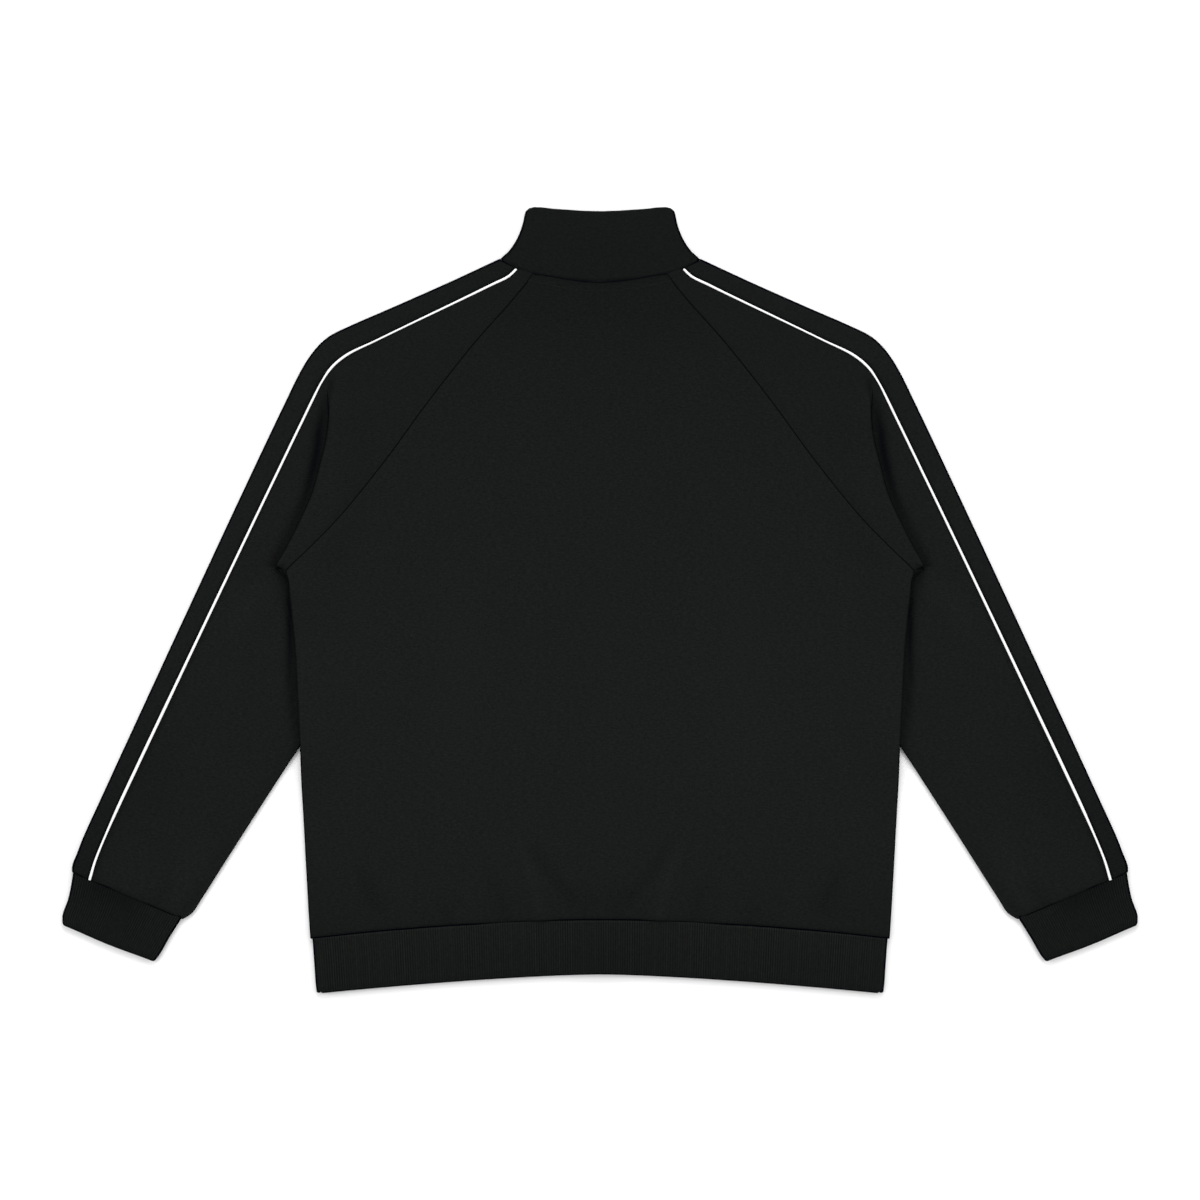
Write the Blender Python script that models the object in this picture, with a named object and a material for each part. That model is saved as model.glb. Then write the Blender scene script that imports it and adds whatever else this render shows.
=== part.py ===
# A track jacket laid flat with its back up: raglan sleeves brought down beside the body, stand collar, rib hem
# and cuffs, piped strips over the arms and a full zip on the front, which lies underneath.
#
# Plan points are (a, y) in millimetres: a is the distance out from the centre back line, the same on both
# sides, and y runs from the hem to the collar. z is the height above the surface that the jacket lies on.
import bmesh
import bpy
import math

MM = 0.001

# Cloth: walls, and the step from the middle of one layer to the middle of the layer on it.
CLOTH = 1.8
RIB = 2.6
AIR = 0.6
STEP = CLOTH + AIR
RIB_STEP = RIB + AIR
SEAM = 0.3
SLANT_SEAM = 0.21
LEVEL = (CLOTH + STEP) / 2
RIB_LEVEL = (RIB + RIB_STEP) / 2
PIPING_WIDTH = 2.8
PIPING_CROWN = 0.5
PIPING_ABOVE_FLOOR = 0.3

# Fineness of the facets.
ARC_CELLS = 4
FLAP_CELLS = 3
REST_CELLS = 2
STRIP_CELLS = 1
BODY_COLUMNS = (0.0, 0.3, 0.55, 0.72, 0.84, 0.92, 1.0)
CUFF_COLUMNS = (0.1, 0.35, 0.65, 0.9)
END_SLANT = 0.3

# Body: centre back and centre front lengths, and how much the hem seam and the back neck bow.
HEM_SEAM_CENTRE = -307.2
HEM_SEAM_SIDE = -324.0
HEM_EDGE_CENTRE = -359.0
HEM_SEAM_BOW = 1.9
HEM_EDGE_BOW = 1.45
NECK_BACK_CENTRE = 305.4
NECK_FRONT_CENTRE = 259.5
ZIP_GAP = 5.5
ARMPIT = (301.0, 28.8)
SHOULDER_POINT = (95.5, 327.0)

# Side seam, from the hem to the armpit: height y, distance a.
SIDE_SEAM = ((-324.0, 277.0), (-307.0, 279.3), (-262.0, 281.9), (-205.0, 285.0), (-175.0, 286.7),
             (-146.0, 287.8), (-100.0, 290.2), (-50.0, 292.7), (-12.0, 296.0), (10.0, 298.4), (28.8, 301.0))
SIDE_ROWS = (-324.0, -262.0, -205.0, -175.0, -146.0, -100.0, -50.0, -12.0, 10.0)

# Plan curves, as (a, y): raglan seam, outer edge of the arm, piping, and the underarm below the tuck.
RAGLAN = ((65.5, 312.8), (84.5, 288.0), (118.6, 249.6), (164.2, 192.0), (206.4, 134.4), (253.0, 76.8), ARMPIT)
ARM_EDGE = (SHOULDER_POINT, (143.5, 305.9), (201.1, 280.3), (239.5, 263.6), (258.7, 254.0), (268.3, 246.3),
            (277.9, 235.0), (287.5, 219.5), (301.2, 192.0), (346.7, 96.0), (391.4, 0.0), (435.8, -96.0),
            (479.9, -192.0), (497.3, -230.4), (504.4, -250.0), (503.8, -262.1))
PIPING_BACK = ((80.2, 318.7), (88.3, 311.0), (103.5, 303.4), (135.4, 288.0), (215.1, 249.6), (240.0, 237.0),
               (254.0, 226.6), (266.5, 211.2), (276.4, 192.0), (322.8, 96.0), (368.8, 0.0), (414.4, -96.0),
               (459.8, -192.0), (484.5, -249.6), (489.5, -268.0))
PIPING_FRONT = ((92.5, 309.0), (103.5, 303.2)) + PIPING_BACK[3:]
UNDERARM = ((288.0, 10.0), (279.8, -9.6), (272.2, -48.0), (270.2, -86.4), (276.0, -115.0), (287.5, -139.2),
            (297.0, -153.6), (346.6, -230.4), (383.4, -288.0), (392.5, -300.0), (402.3, -304.5))

# Sleeve sections from the neck to the point where the piping meets the tuck: distance along the arm's outer
# edge, along the back raglan seam and along the front one.
SHOULDER_ROWS = ((0.0, 0.0, 31.2), (50.0, 30.0, 53.0), (100.0, 62.0, 76.0), (150.0, 92.0, 99.0),
                 (200.0, 121.8, 121.8))
# Sections across the tuck at the armpit: distance along the outer edge, along the raglan seam, height y, the
# tuck's visible edge, how far round its folds turn in degrees, and the flat stretch hidden between them.
TUCK_ROWS = ((225.0, 138.2, 206.0, 259.3, 32.0, 0.0), (238.0, 151.6, 195.5, 259.6, 80.0, 0.0),
             (251.0, 165.8, 184.2, 259.8, 132.0, 1.0),
             (280.0, 196.0, 160.0, 262.5, 180.0, 4.0), (312.0, 230.6, 132.0, 269.0, 180.0, 8.0),
             (344.0, 266.6, 104.0, 276.5, 180.0, 12.0), (372.0, 300.0, 78.0, 288.0, 180.0, 15.0),
             (396.0, 333.9, 54.0, 300.0, 180.0, 18.0), (414.0, 369.5, 33.3, 312.0, 180.0, 20.0))
# The tuck's lower end, where the underarm seam folds under: distance along the outer edge and height y.
TUCK_TIP = (419.0, 31.0)
TUCK_FOOT = (432.0, 10.0)
# Sections below it: distance along the outer edge and along the underarm.
ARM_ROWS = ((470.0, 40.0), (530.0, 100.0), (590.0, 160.0), (650.0, 228.0), (700.0, 285.0), (732.0, 330.0))

# The body lies over the tuck and the hidden part of the sleeve: height y, rise, and where it starts to fall.
SIDE_RISE = ((-200.0, 0.0, 286.0), (-175.0, 1.6, 286.0), (-150.0, 4.8, 286.0), (-140.0, 4.8, 283.0),
             (-115.0, 4.8, 271.0), (-86.0, 4.8, 265.5), (-48.0, 4.8, 267.5), (-10.0, 4.8, 275.0),
             (12.0, 9.6, 284.0))
RISE_FALL = 52.0
SHOULDER_RISE_END = 220.0

# Collar: front half from the zip to the shoulder, then the back half from the centre to the shoulder, each row
# the seam (a, y) and the top edge (a, y) above it.
COLLAR_FRONT = ((5.5, 259.6, 5.5, 334.0), (25.3, 262.1, 19.0, 335.7), (46.5, 268.1, 34.0, 340.8),
                (60.8, 274.3, 44.0, 347.5), (77.7, 283.6, 54.0, 356.5), (84.5, 288.0, 58.5, 362.0),
                (92.5, 309.0, 64.5, 369.5))
COLLAR_BACK = ((22.0, 306.2, 16.0, 373.9), (44.0, 308.7, 32.0, 375.0), (65.5, 312.8, 47.5, 376.4),
               (80.2, 318.7, 58.0, 376.9))
COLLAR_CENTRE = (305.4, 373.4)
COLLAR_CORNER = (68.6, 376.6)
COLLAR_WAIST = 5.2
COLLAR_CORNER_OUT = 2.2
COLLAR_CORNER_TURN = 0.45
COLLAR_LEVELS = (0.0, 0.3, 0.6, 0.92, 1.0)

# Hem band: the side fold's outline as level, a, y. Cuff: outer and inner fold, each row level, a, y, a, y.
BAND_CORNER_TURN = 0.6
BAND_SIDE = ((0.0, 276.6, -324.4), (0.5, 274.4, -348.0), (0.92, 272.2, -371.5), (1.0, 269.6, -376.6))
CUFF_ROWS = ((0.0, 503.9, -262.4, 402.4, -304.8), (0.5, 510.4, -286.0, 413.4, -323.5),
             (0.92, 516.6, -307.2, 425.6, -344.0), (1.0, 514.2, -312.0, 428.6, -346.8))

# Zip: chain and tape sections, slider and its pull.
TEETH_HALF = 1.1
TEETH_REACH = 3.0
TAPE_HALF = 0.3
TAPE_REACH = 17.0
TEETH_GAP = 0.15
ZIP_TOP = 330.5
ZIP_FOOT = -350.5
TRIM_STARTS = (-292.0, 242.0)
TRIM_SLOPE = 14.0
SLIDER_Y = 327.0
SLIDER_RISE = 1.8
SLIDER_CAVITY = 1.4
SLIDER_PLATE = 0.8
SLIDER_WIDTH = 9.0
SLIDER_LENGTH = 12.5
SLIDER_POST = 2.0
SLIDER_POST_WIDTH = 3.2
BRIDGE_WIDTH = 2.0
BRIDGE_LENGTH = 8.0
BRIDGE_BAR = 0.8
BRIDGE_ROOM = 1.5
BRIDGE_LEG = 1.2
OVERLAP = 0.2
PIN_RADIUS = 0.45
PULL_WIDTH = 6.8
PULL_ARM = 1.3
PULL_EYE = 6.0
PULL_LENGTH = 27.0
PULL_THICK = 0.9
PULL_TILT = 3.2
PULL_CORNER = 1.4
PULL_ARM_INSET = 0.4
PULL_ARM_END = 0.5
BOX_SIZE = (9.0, 7.5, 3.2)

# Colours as linear red, green, blue, then roughness and metallic.
FINISHES = {
    "fleece": ((0.011, 0.012, 0.0115), 0.95, 0.0),
    "collar_knit": ((0.0105, 0.0115, 0.011), 0.95, 0.0),
    "rib": ((0.0095, 0.0105, 0.01), 0.95, 0.0),
    "piping": ((0.85, 0.85, 0.84), 0.7, 0.0),
    "zip_tape": ((0.012, 0.012, 0.012), 0.55, 0.0),
    "zip_metal": ((0.02, 0.02, 0.022), 0.35, 0.9),
}


def smooth(t):
    t = min(max(t, 0.0), 1.0)
    return t * t * (3.0 - 2.0 * t)


def bump(t):
    return math.cos(0.5 * math.pi * min(abs(t), 1.0)) ** 2


def flow(xs, values, x):
    """A smooth curve through rising xs that never swings past its values, read at x."""
    x = min(max(x, xs[0]), xs[-1])
    gaps = [b - a for a, b in zip(xs, xs[1:])]
    rates = [(b - a) / gap for a, b, gap in zip(values, values[1:], gaps)]
    slopes = [rates[0]]
    for before, after in zip(rates, rates[1:]):
        slopes.append(0.0 if before * after <= 0.0 else 2.0 * before * after / (before + after))
    slopes.append(rates[-1])
    i = max(k for k in range(len(gaps)) if k == 0 or xs[k] <= x)
    t = (x - xs[i]) / gaps[i]
    return ((1 + 2 * t) * (1 - t) ** 2 * values[i] + t * (1 - t) ** 2 * gaps[i] * slopes[i]
            + t * t * (3 - 2 * t) * values[i + 1] - t * t * (1 - t) * gaps[i] * slopes[i + 1])


def column(table, index):
    return [row[index] for row in table]


class PlanCurve:
    """A smooth curve in plan, read by the distance along it."""

    def __init__(self, points):
        self.a = column(points, 0)
        self.y = column(points, 1)
        self.marks = [0.0]
        for (a0, y0), (a1, y1) in zip(points, points[1:]):
            self.marks.append(self.marks[-1] + math.hypot(a1 - a0, y1 - y0))
        self.length = self.marks[-1]

    def at(self, along):
        return flow(self.marks, self.a, along), flow(self.marks, self.y, along)

    def outward(self, along):
        """The plan direction square to the curve, on the side away from the body."""
        a0, y0 = self.at(max(along - 2.0, 0.0))
        a1, y1 = self.at(min(along + 2.0, self.length))
        size = math.hypot(a1 - a0, y1 - y0)
        return (y0 - y1) / size, (a1 - a0) / size


raglan = PlanCurve(RAGLAN)
arm_edge = PlanCurve(ARM_EDGE)
piping_lines = {"back": PlanCurve(PIPING_BACK), "front": PlanCurve(PIPING_FRONT)}
underarm = PlanCurve(UNDERARM)


def tuck_height(turn, tuck):
    """How far the tuck's folds lift the cloth that lies over them."""
    return 2.0 * STEP * (1.0 - math.cos(math.radians(turn))) + tuck * math.sin(math.radians(turn))


def edge_inset(turn):
    """From a fold's outer edge back to the centre of its bend."""
    return (1.5 * STEP + CLOTH / 2) * turn / 180.0


def rise_table():
    """Height y, rise and start of the fall, from the hem up, the side seam's rows and then the tuck's."""
    rows = list(SIDE_RISE)
    for _, _, y, edge, turn, tuck in reversed(TUCK_ROWS):
        rows.append((y, tuck_height(turn, tuck), edge - edge_inset(turn) - tuck - 1.0))
    rows.append((SHOULDER_RISE_END, 0.0, rows[-1][2]))
    return rows


RISE = rise_table()


def rise(a, y):
    """How far both layers of the body and the tuck's flap lie above their level on the bare surface."""
    top = flow(column(RISE, 0), column(RISE, 1), y)
    start = flow(column(RISE, 0), column(RISE, 2), y)
    return top * (1.0 - smooth((start - a) / RISE_FALL))


def front_rise(a, y):
    """The front pieces lift over the slider and its pull."""
    return SLIDER_RISE * math.exp(-(a / 35.0) ** 2) * bump((y - SLIDER_Y) / 70.0)


def back_rise(a, y):
    """The back pieces pass over the zip, the front collar and the slider."""
    over_zip = 2.1 * math.exp(-(a / 24.0) ** 2)
    over_collar = smooth((y - 225.0) / 35.0) * smooth((150.0 - a) / 50.0)
    over_slider = 2.9 * math.exp(-(a / 35.0) ** 2) * bump((y - SLIDER_Y) / 60.0)
    return over_zip + over_collar + over_slider


def layer(a, y, back, half_step, level):
    """The middle of the upper or the lower layer at a plan point, where nothing but the zip lies between."""
    if back:
        return level + half_step + back_rise(a, y)
    return level - half_step + front_rise(a, y)


def finish(name):
    if name in bpy.data.materials:
        return bpy.data.materials[name]
    colour, roughness, metallic = FINISHES[name]
    material = bpy.data.materials.new(name)
    material.use_nodes = True
    shader = material.node_tree.nodes["Principled BSDF"]
    shader.inputs["Base Color"].default_value = (*colour, 1.0)
    shader.inputs["Roughness"].default_value = roughness
    shader.inputs["Metallic"].default_value = metallic
    material.diffuse_color = (*colour, 1.0)
    return material


def add_object(name, mesh, material):
    thing = bpy.data.objects.new(name, mesh)
    mesh.materials.append(finish(material))
    bpy.context.scene.collection.objects.link(thing)
    return thing


def wall(name, rows, thickness, material, side=1, ring=False, halves=False):
    """A closed cloth wall from rows of (point, normal), all rows with as many columns; equal points are joined.

    A piece with two mirrored halves has mirrored facets too, so that it stays clear of the pieces below."""
    points, found, faces = [], {}, []

    def corner(row, col, half):
        (a, y, z), (na, ny, nz) = rows[row][col]
        spot = (side * (a + half * na) * MM, (y + half * ny) * MM, (z + half * nz) * MM)
        key = tuple(round(value, 7) for value in spot)
        if key not in found:
            found[key] = len(points)
            points.append(spot)
        return found[key]

    def quad(one, two, three, four, other=False):
        if other:
            one, two, three, four = two, three, four, one
        for face in ((one, two, three), (one, three, four)):
            if len(set(face)) == 3:
                faces.append(face)

    last_row, last_col = len(rows) - 1, len(rows[0]) - 1
    half = thickness / 2.0
    steps = [(j, j + 1) for j in range(last_col)] + ([(last_col, 0)] if ring else [])
    for i in range(last_row):
        for j, k in steps:
            other = halves and 2 * j < last_col
            quad(corner(i, j, half), corner(i, k, half), corner(i + 1, k, half), corner(i + 1, j, half), other)
            quad(corner(i, j, -half), corner(i + 1, j, -half), corner(i + 1, k, -half), corner(i, k, -half),
                 other)
        if not ring:
            for j, turned in ((0, False), (last_col, True)):
                rim = (corner(i, j, half), corner(i + 1, j, half), corner(i + 1, j, -half), corner(i, j, -half))
                quad(*(reversed(rim) if turned else rim))
    for i, turned in ((0, True), (last_row, False)):
        for j, k in steps:
            rim = (corner(i, j, half), corner(i, k, half), corner(i, k, -half), corner(i, j, -half))
            quad(*(rim if turned else reversed(rim)))
    mesh = bpy.data.meshes.new(name)
    mesh.from_pydata(points, [], faces)
    face_out(mesh)
    return add_object(name, mesh, material)


def face_out(mesh):
    shape = bmesh.new()
    shape.from_mesh(mesh)
    bmesh.ops.recalc_face_normals(shape, faces=shape.faces)
    shape.to_mesh(mesh)
    shape.free()


def bar(name, sections, material, side=1):
    """A closed solid through outlines of equal length, one for each section along it, capped at both ends."""
    count = len(sections[0])
    points = [(side * a * MM, y * MM, z * MM) for outline in sections for a, y, z in outline]
    faces = [tuple(range(count)), tuple(range(len(points) - count, len(points)))]
    for i in range(len(sections) - 1):
        for j in range(count):
            k = (j + 1) % count
            faces.append((i * count + j, i * count + k, (i + 1) * count + k, (i + 1) * count + j))
    mesh = bpy.data.meshes.new(name)
    mesh.from_pydata(points, [], faces)
    face_out(mesh)
    return add_object(name, mesh, material)


def turn_under(edge, outward, top, bottom, thickness):
    """A folded edge seen in section: (point, normal) round from the upper layer to the lower one."""
    radius = (top - bottom) / 2.0
    a = edge[0] - outward[0] * (radius + thickness / 2.0)
    y = edge[1] - outward[1] * (radius + thickness / 2.0)
    out = []
    for k in range(ARC_CELLS + 1):
        angle = math.pi * k / ARC_CELLS
        across, up = math.sin(angle), math.cos(angle)
        point = (a + radius * across * outward[0], y + radius * across * outward[1],
                 (top + bottom) / 2.0 + radius * up)
        out.append((point, (across * outward[0], across * outward[1], up)))
    return out


UP = (0.0, 0.0, 1.0)
DOWN = (0.0, 0.0, -1.0)


# ---- body -----------------------------------------------------------------------------------------------

def centre_height(edge_y, back):
    """Where a row that meets the side or raglan seam at edge_y crosses the centre line."""
    share = (edge_y - HEM_SEAM_SIDE) / (RAGLAN[0][1] - HEM_SEAM_SIDE)
    y = HEM_SEAM_CENTRE + share * (NECK_BACK_CENTRE - HEM_SEAM_CENTRE)
    if back or edge_y <= TUCK_ROWS[0][2]:
        return y
    start, stop = TUCK_ROWS[0][2], raglan.at(SHOULDER_ROWS[0][2])[1]
    low = centre_height(start, True)
    return low + (NECK_FRONT_CENTRE - low) * (edge_y - start) / (stop - start)


def body_edge(back):
    """The outer end of each row of the body, from the hem to the neck, and whether it is on the raglan seam."""
    heights, distances = column(SIDE_SEAM, 0), column(SIDE_SEAM, 1)
    ends = [(flow(heights, distances, y), y, False) for y in SIDE_ROWS]
    alongs = [row[1] for row in reversed(TUCK_ROWS)]
    alongs += [row[1 if back else 2] for row in reversed(SHOULDER_ROWS)]
    return ends + [(*raglan.at(along), True) for along in alongs]


def body_rows(back):
    rows = []
    ends = body_edge(back)
    for i, (edge_a, edge_y, on_raglan) in enumerate(ends):
        middle = centre_height(edge_y, back)
        end_a = edge_a - SLANT_SEAM * on_raglan
        shift = SEAM / 2 if i == 0 else -SEAM / 2 if i == len(ends) - 1 else 0.0
        row = []
        for share in BODY_COLUMNS:
            a = max(end_a * share, 0.0 if back else ZIP_GAP)
            bow = (a / edge_a) ** (HEM_SEAM_BOW if i == 0 else 2.0)
            y = middle + (edge_y - middle) * bow + shift
            at_side = share == 1.0 and not on_raglan
            half_step = (CLOTH + SEAM) / 2 if at_side else STEP / 2
            row.append(((a, y, rise(a, y) + layer(a, y, back, half_step, LEVEL)), UP))
        rows.append(row)
    return rows


def mirrored(row):
    return [((-a, y, z), (-na, ny, nz)) for (a, y, z), (na, ny, nz) in row]


def make_back():
    rows = [mirrored(row[:0:-1]) + row for row in body_rows(True)]
    wall("back", rows, CLOTH, "fleece", halves=True)


def make_front(name, side):
    wall(name, body_rows(False), CLOTH, "fleece", side)


# ---- sleeves --------------------------------------------------------------------------------------------

def along_piping(which, along):
    return along * piping_lines[which].length / arm_edge.length


def piping_side(which, along, offset):
    """A plan point beside the piping's middle, offset outwards."""
    line = piping_lines[which]
    at = along_piping(which, along)
    a, y = line.at(at)
    out = line.outward(at)
    return a + out[0] * offset, y + out[1] * offset


def evenly(start, end, cells):
    return [start + (end - start) * k / cells for k in range(cells + 1)]


def between(start, end, cells):
    return list(zip(evenly(start[0], end[0], cells), evenly(start[1], end[1], cells)))


def tuck_section(edge, turn, tuck):
    """The doubled cloth's middle round the tuck, from the flap to the sleeve: (a, height, lean)."""
    full = math.radians(turn)
    a, z = edge - edge_inset(turn), tuck_height(turn, tuck)
    leans = [full * k / ARC_CELLS for k in range(ARC_CELLS + 1)]
    out = [(a + STEP * math.sin(lean), z - STEP * (1.0 - math.cos(lean)), lean) for lean in leans]
    a, z = out[-1][0] + tuck * math.cos(full), out[-1][1] - tuck * math.sin(full)
    a, z = a + STEP * math.sin(full), z + STEP * math.cos(full)
    out += [(a - STEP * math.sin(lean), z - STEP * math.cos(lean), lean) for lean in reversed(leans)]
    return out


def sleeve_point(a, y, height, lean, back, raised):
    """A wall point of the back or the front layer beside the doubled cloth's middle."""
    out = math.sin(lean), math.cos(lean)
    half_step = STEP / 2 if back else -STEP / 2
    extra = raised * (back_rise(a, y) if back else front_rise(a, y))
    return (a + half_step * out[0], y, LEVEL + height + half_step * out[1] + extra), (out[0], 0.0, out[1])


def flat_sleeve_row(start, end, back, lift=1.0):
    """A section with no tuck: the raglan or underarm end, the cloth, and the piping end."""
    flap = between(start, end, FLAP_CELLS)
    still = 2 * (ARC_CELLS + 1) - 1 + REST_CELLS
    return [sleeve_point(a, y, lift * rise(a, y), 0.0, back, 1.0) for a, y in flap + [end] * still]


def tucked_row(start, level, edge, turn, tuck, end, back):
    section = tuck_section(edge, turn, tuck)
    flap = between(start, (section[0][0], level), FLAP_CELLS)[:-1]
    row = [sleeve_point(a, y, rise(a, y), 0.0, back, 0.0) for a, y in flap]
    row += [sleeve_point(a, level, height, lean, back, 0.0) for a, height, lean in section]
    rest = between((section[-1][0], level), end, REST_CELLS)[1:]
    return row + [sleeve_point(a, y, 0.0, 0.0, back, 0.0) for a, y in rest]


def held(row, count):
    """The row with its first columns gathered at the seam end."""
    return [row[count]] * count + row[count:]


def arm_row(start, end, back):
    """A section below the tuck: its first columns are gathered at the underarm seam."""
    gathered = FLAP_CELLS + 2 * (ARC_CELLS + 1) - 1
    cloth = between(start, end, REST_CELLS)
    return [sleeve_point(a, y, 0.0, 0.0, back, 0.0) for a, y in [start] * gathered + cloth]


def sleeve_rows(back):
    which = "back" if back else "front"
    inset = -(PIPING_WIDTH / 2 + SEAM)
    rows = []
    for outer, back_seam, front_seam in SHOULDER_ROWS:
        a, y = raglan.at(back_seam if back else front_seam)
        rows.append(flat_sleeve_row((a + SLANT_SEAM, y), piping_side(which, outer, inset), back))
    for outer, seam, level, edge, turn, tuck in TUCK_ROWS:
        a, y = raglan.at(seam)
        end = piping_side(which, outer, inset)
        rows.append(tucked_row((a + SLANT_SEAM, y), level, edge, turn, tuck, end, back))
    _, _, _, edge, turn, tuck = TUCK_ROWS[-1]
    outer, level = TUCK_TIP
    tip = tucked_row((edge, level), level, edge, turn, tuck - 1.0, piping_side(which, outer, inset), back)
    rows.append(held(tip, FLAP_CELLS + ARC_CELLS // 2))
    outer, level = TUCK_FOOT
    edge = UNDERARM[0][0] + 2 * STEP + edge_inset(turn)
    foot = tucked_row((edge, level), level, edge, turn, 1.0, piping_side(which, outer, inset), back)
    rows.append(held(foot, FLAP_CELLS + ARC_CELLS + 1 + ARC_CELLS // 2))
    for outer, inner in ARM_ROWS:
        rows.append(arm_row(underarm.at(inner), piping_side(which, outer, inset), back))
    rows.append(arm_row(underarm.at(underarm.length), piping_side(which, arm_edge.length, inset), back))
    return trimmed_ends(rows)


def off_end(a, y, step):
    """A plan point moved off the seam at the arm's neck end, step -1, or its cuff end, step 1."""
    return a - END_SLANT * step * SEAM, y + step * SEAM


def trimmed_ends(rows):
    """Takes half a seam's gap off the neck end and the cuff end."""
    for i, step in ((0, -1.0), (-1, 1.0)):
        rows[i] = [((*off_end(a, y, step), z), normal) for (a, y, z), normal in rows[i]]
    return rows


def strip_alongs():
    alongs = column(SHOULDER_ROWS, 0) + column(TUCK_ROWS, 0) + [TUCK_FOOT[0]] + column(ARM_ROWS, 0)
    return alongs + [arm_edge.length]


def strip_rows():
    """The over-arm strip, from the back piping round the fold to the front piping."""
    rows = []
    offset = PIPING_WIDTH / 2 + SEAM
    for along in strip_alongs():
        edge, out = arm_edge.at(along), arm_edge.outward(along)
        top = layer(*edge, True, STEP / 2, LEVEL)
        bottom = layer(*edge, False, STEP / 2, LEVEL)
        fold = turn_under(edge, out, top, bottom, CLOTH)
        back = between(piping_side("back", along, offset), fold[0][0][:2], STRIP_CELLS)[:-1]
        front = between(fold[-1][0][:2], piping_side("front", along, offset), STRIP_CELLS)[1:]
        row = [((a, y, layer(a, y, True, STEP / 2, LEVEL)), UP) for a, y in back]
        row += fold
        row += [((a, y, layer(a, y, False, STEP / 2, LEVEL)), DOWN) for a, y in front]
        rows.append(row)
    return trimmed_ends(rows)


def piping_sections(which):
    """The piping: flat below, between the cloth's edges, with a crown that stands above them."""
    back = which == "back"
    outline = ((-1, -1, 0), (1, -1, 0), (1, 1, 0), (0, 1, PIPING_CROWN), (-1, 1, 0))
    sections = []
    for along in strip_alongs():
        section = []
        for across, up, crown in outline:
            a, y = piping_side(which, along, across * PIPING_WIDTH / 2)
            z = layer(*piping_side(which, along, 0.0), back, STEP / 2, LEVEL)
            thick = up * CLOTH / 2 + (PIPING_ABOVE_FLOOR if up < 0 else 0.0) + crown
            section.append((a, y, z + (thick if back else -min(thick, CLOTH / 2))))
        sections.append(section)
    for i, step in ((0, -1.0), (-1, 1.0)):
        sections[i] = [(*off_end(a, y, step), z) for a, y, z in sections[i]]
    return sections


# ---- collar, hem band and cuffs -------------------------------------------------------------------------

def collar_row(level):
    """One level of the collar, from the left front edge round the neck to the right front edge."""
    lift = SEAM if level == 0.0 else 0.0
    waist = COLLAR_WAIST * math.sin(math.pi * min(level / 0.86, 1.0))
    wide, high = SHOULDER_POINT
    corner = (wide + (COLLAR_CORNER[0] - wide) * level - waist
              + (COLLAR_CORNER_OUT if level == COLLAR_LEVELS[-2] else 0.0),
              high + (COLLAR_CORNER[1] - high) * level + lift)

    def spot(seam_a, seam_y, top_a, top_y):
        share = seam_a / wide
        a = seam_a + (top_a - seam_a) * level - waist * share * share
        return a, seam_y + (top_y - seam_y) * level + lift

    turn = COLLAR_CORNER_TURN if level > 0.9 else 0.0
    outward = (math.cos(turn), math.sin(turn))
    top = layer(*corner, True, RIB_STEP / 2, RIB_LEVEL) - back_rise(*corner) * 0.6
    fold = turn_under(corner, outward, top, RIB_LEVEL - RIB_STEP / 2, RIB)
    half = []
    for place in reversed([spot(*row) for row in COLLAR_BACK]):
        half.append(((*place, layer(*place, True, RIB_STEP / 2, RIB_LEVEL)), UP))
    half = half[::-1] + fold
    for place in reversed([spot(*row) for row in COLLAR_FRONT]):
        half.append(((*place, layer(*place, False, RIB_STEP / 2, RIB_LEVEL)), DOWN))
    middle = COLLAR_CENTRE[0] + (COLLAR_CENTRE[1] - COLLAR_CENTRE[0]) * level + lift
    centre = [((0.0, middle, layer(0.0, middle, True, RIB_STEP / 2, RIB_LEVEL)), UP)]
    return mirrored(half[::-1]) + centre + half


def make_collar():
    wall("collar", [collar_row(level) for level in COLLAR_LEVELS], RIB, "collar_knit", halves=True)


def band_row(level, side_a, side_y):
    """One level of the hem band, from the left front edge round the back to the right front edge."""
    middle = HEM_SEAM_CENTRE + (HEM_EDGE_CENTRE - HEM_SEAM_CENTRE) * level - (SEAM / 2 if level == 0.0 else 0.0)
    power = HEM_SEAM_BOW + (HEM_EDGE_BOW - HEM_SEAM_BOW) * level

    def spot(a):
        return a, middle + (side_y - middle) * (a / side_a) ** power

    tilt = BAND_CORNER_TURN if level == 1.0 else 0.0
    top = layer(side_a, side_y, True, RIB_STEP / 2, RIB_LEVEL)
    fold = turn_under((side_a, side_y), (math.cos(tilt), -math.sin(tilt)), top, RIB_LEVEL - RIB_STEP / 2, RIB)
    half = [((*spot(side_a * u), layer(*spot(side_a * u), True, RIB_STEP / 2, RIB_LEVEL)), UP)
            for u in BODY_COLUMNS[1:-1]]
    half += fold
    for u in reversed(BODY_COLUMNS[:-1]):
        place = spot(max(side_a * u, ZIP_GAP))
        half.append(((*place, layer(*place, False, RIB_STEP / 2, RIB_LEVEL)), DOWN))
    centre = [((*spot(0.0), layer(*spot(0.0), True, RIB_STEP / 2, RIB_LEVEL)), UP)]
    return mirrored(half[::-1]) + centre + half


def make_hem_band():
    wall("hem_band", [band_row(*row) for row in BAND_SIDE], RIB, "rib", halves=True)


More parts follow.
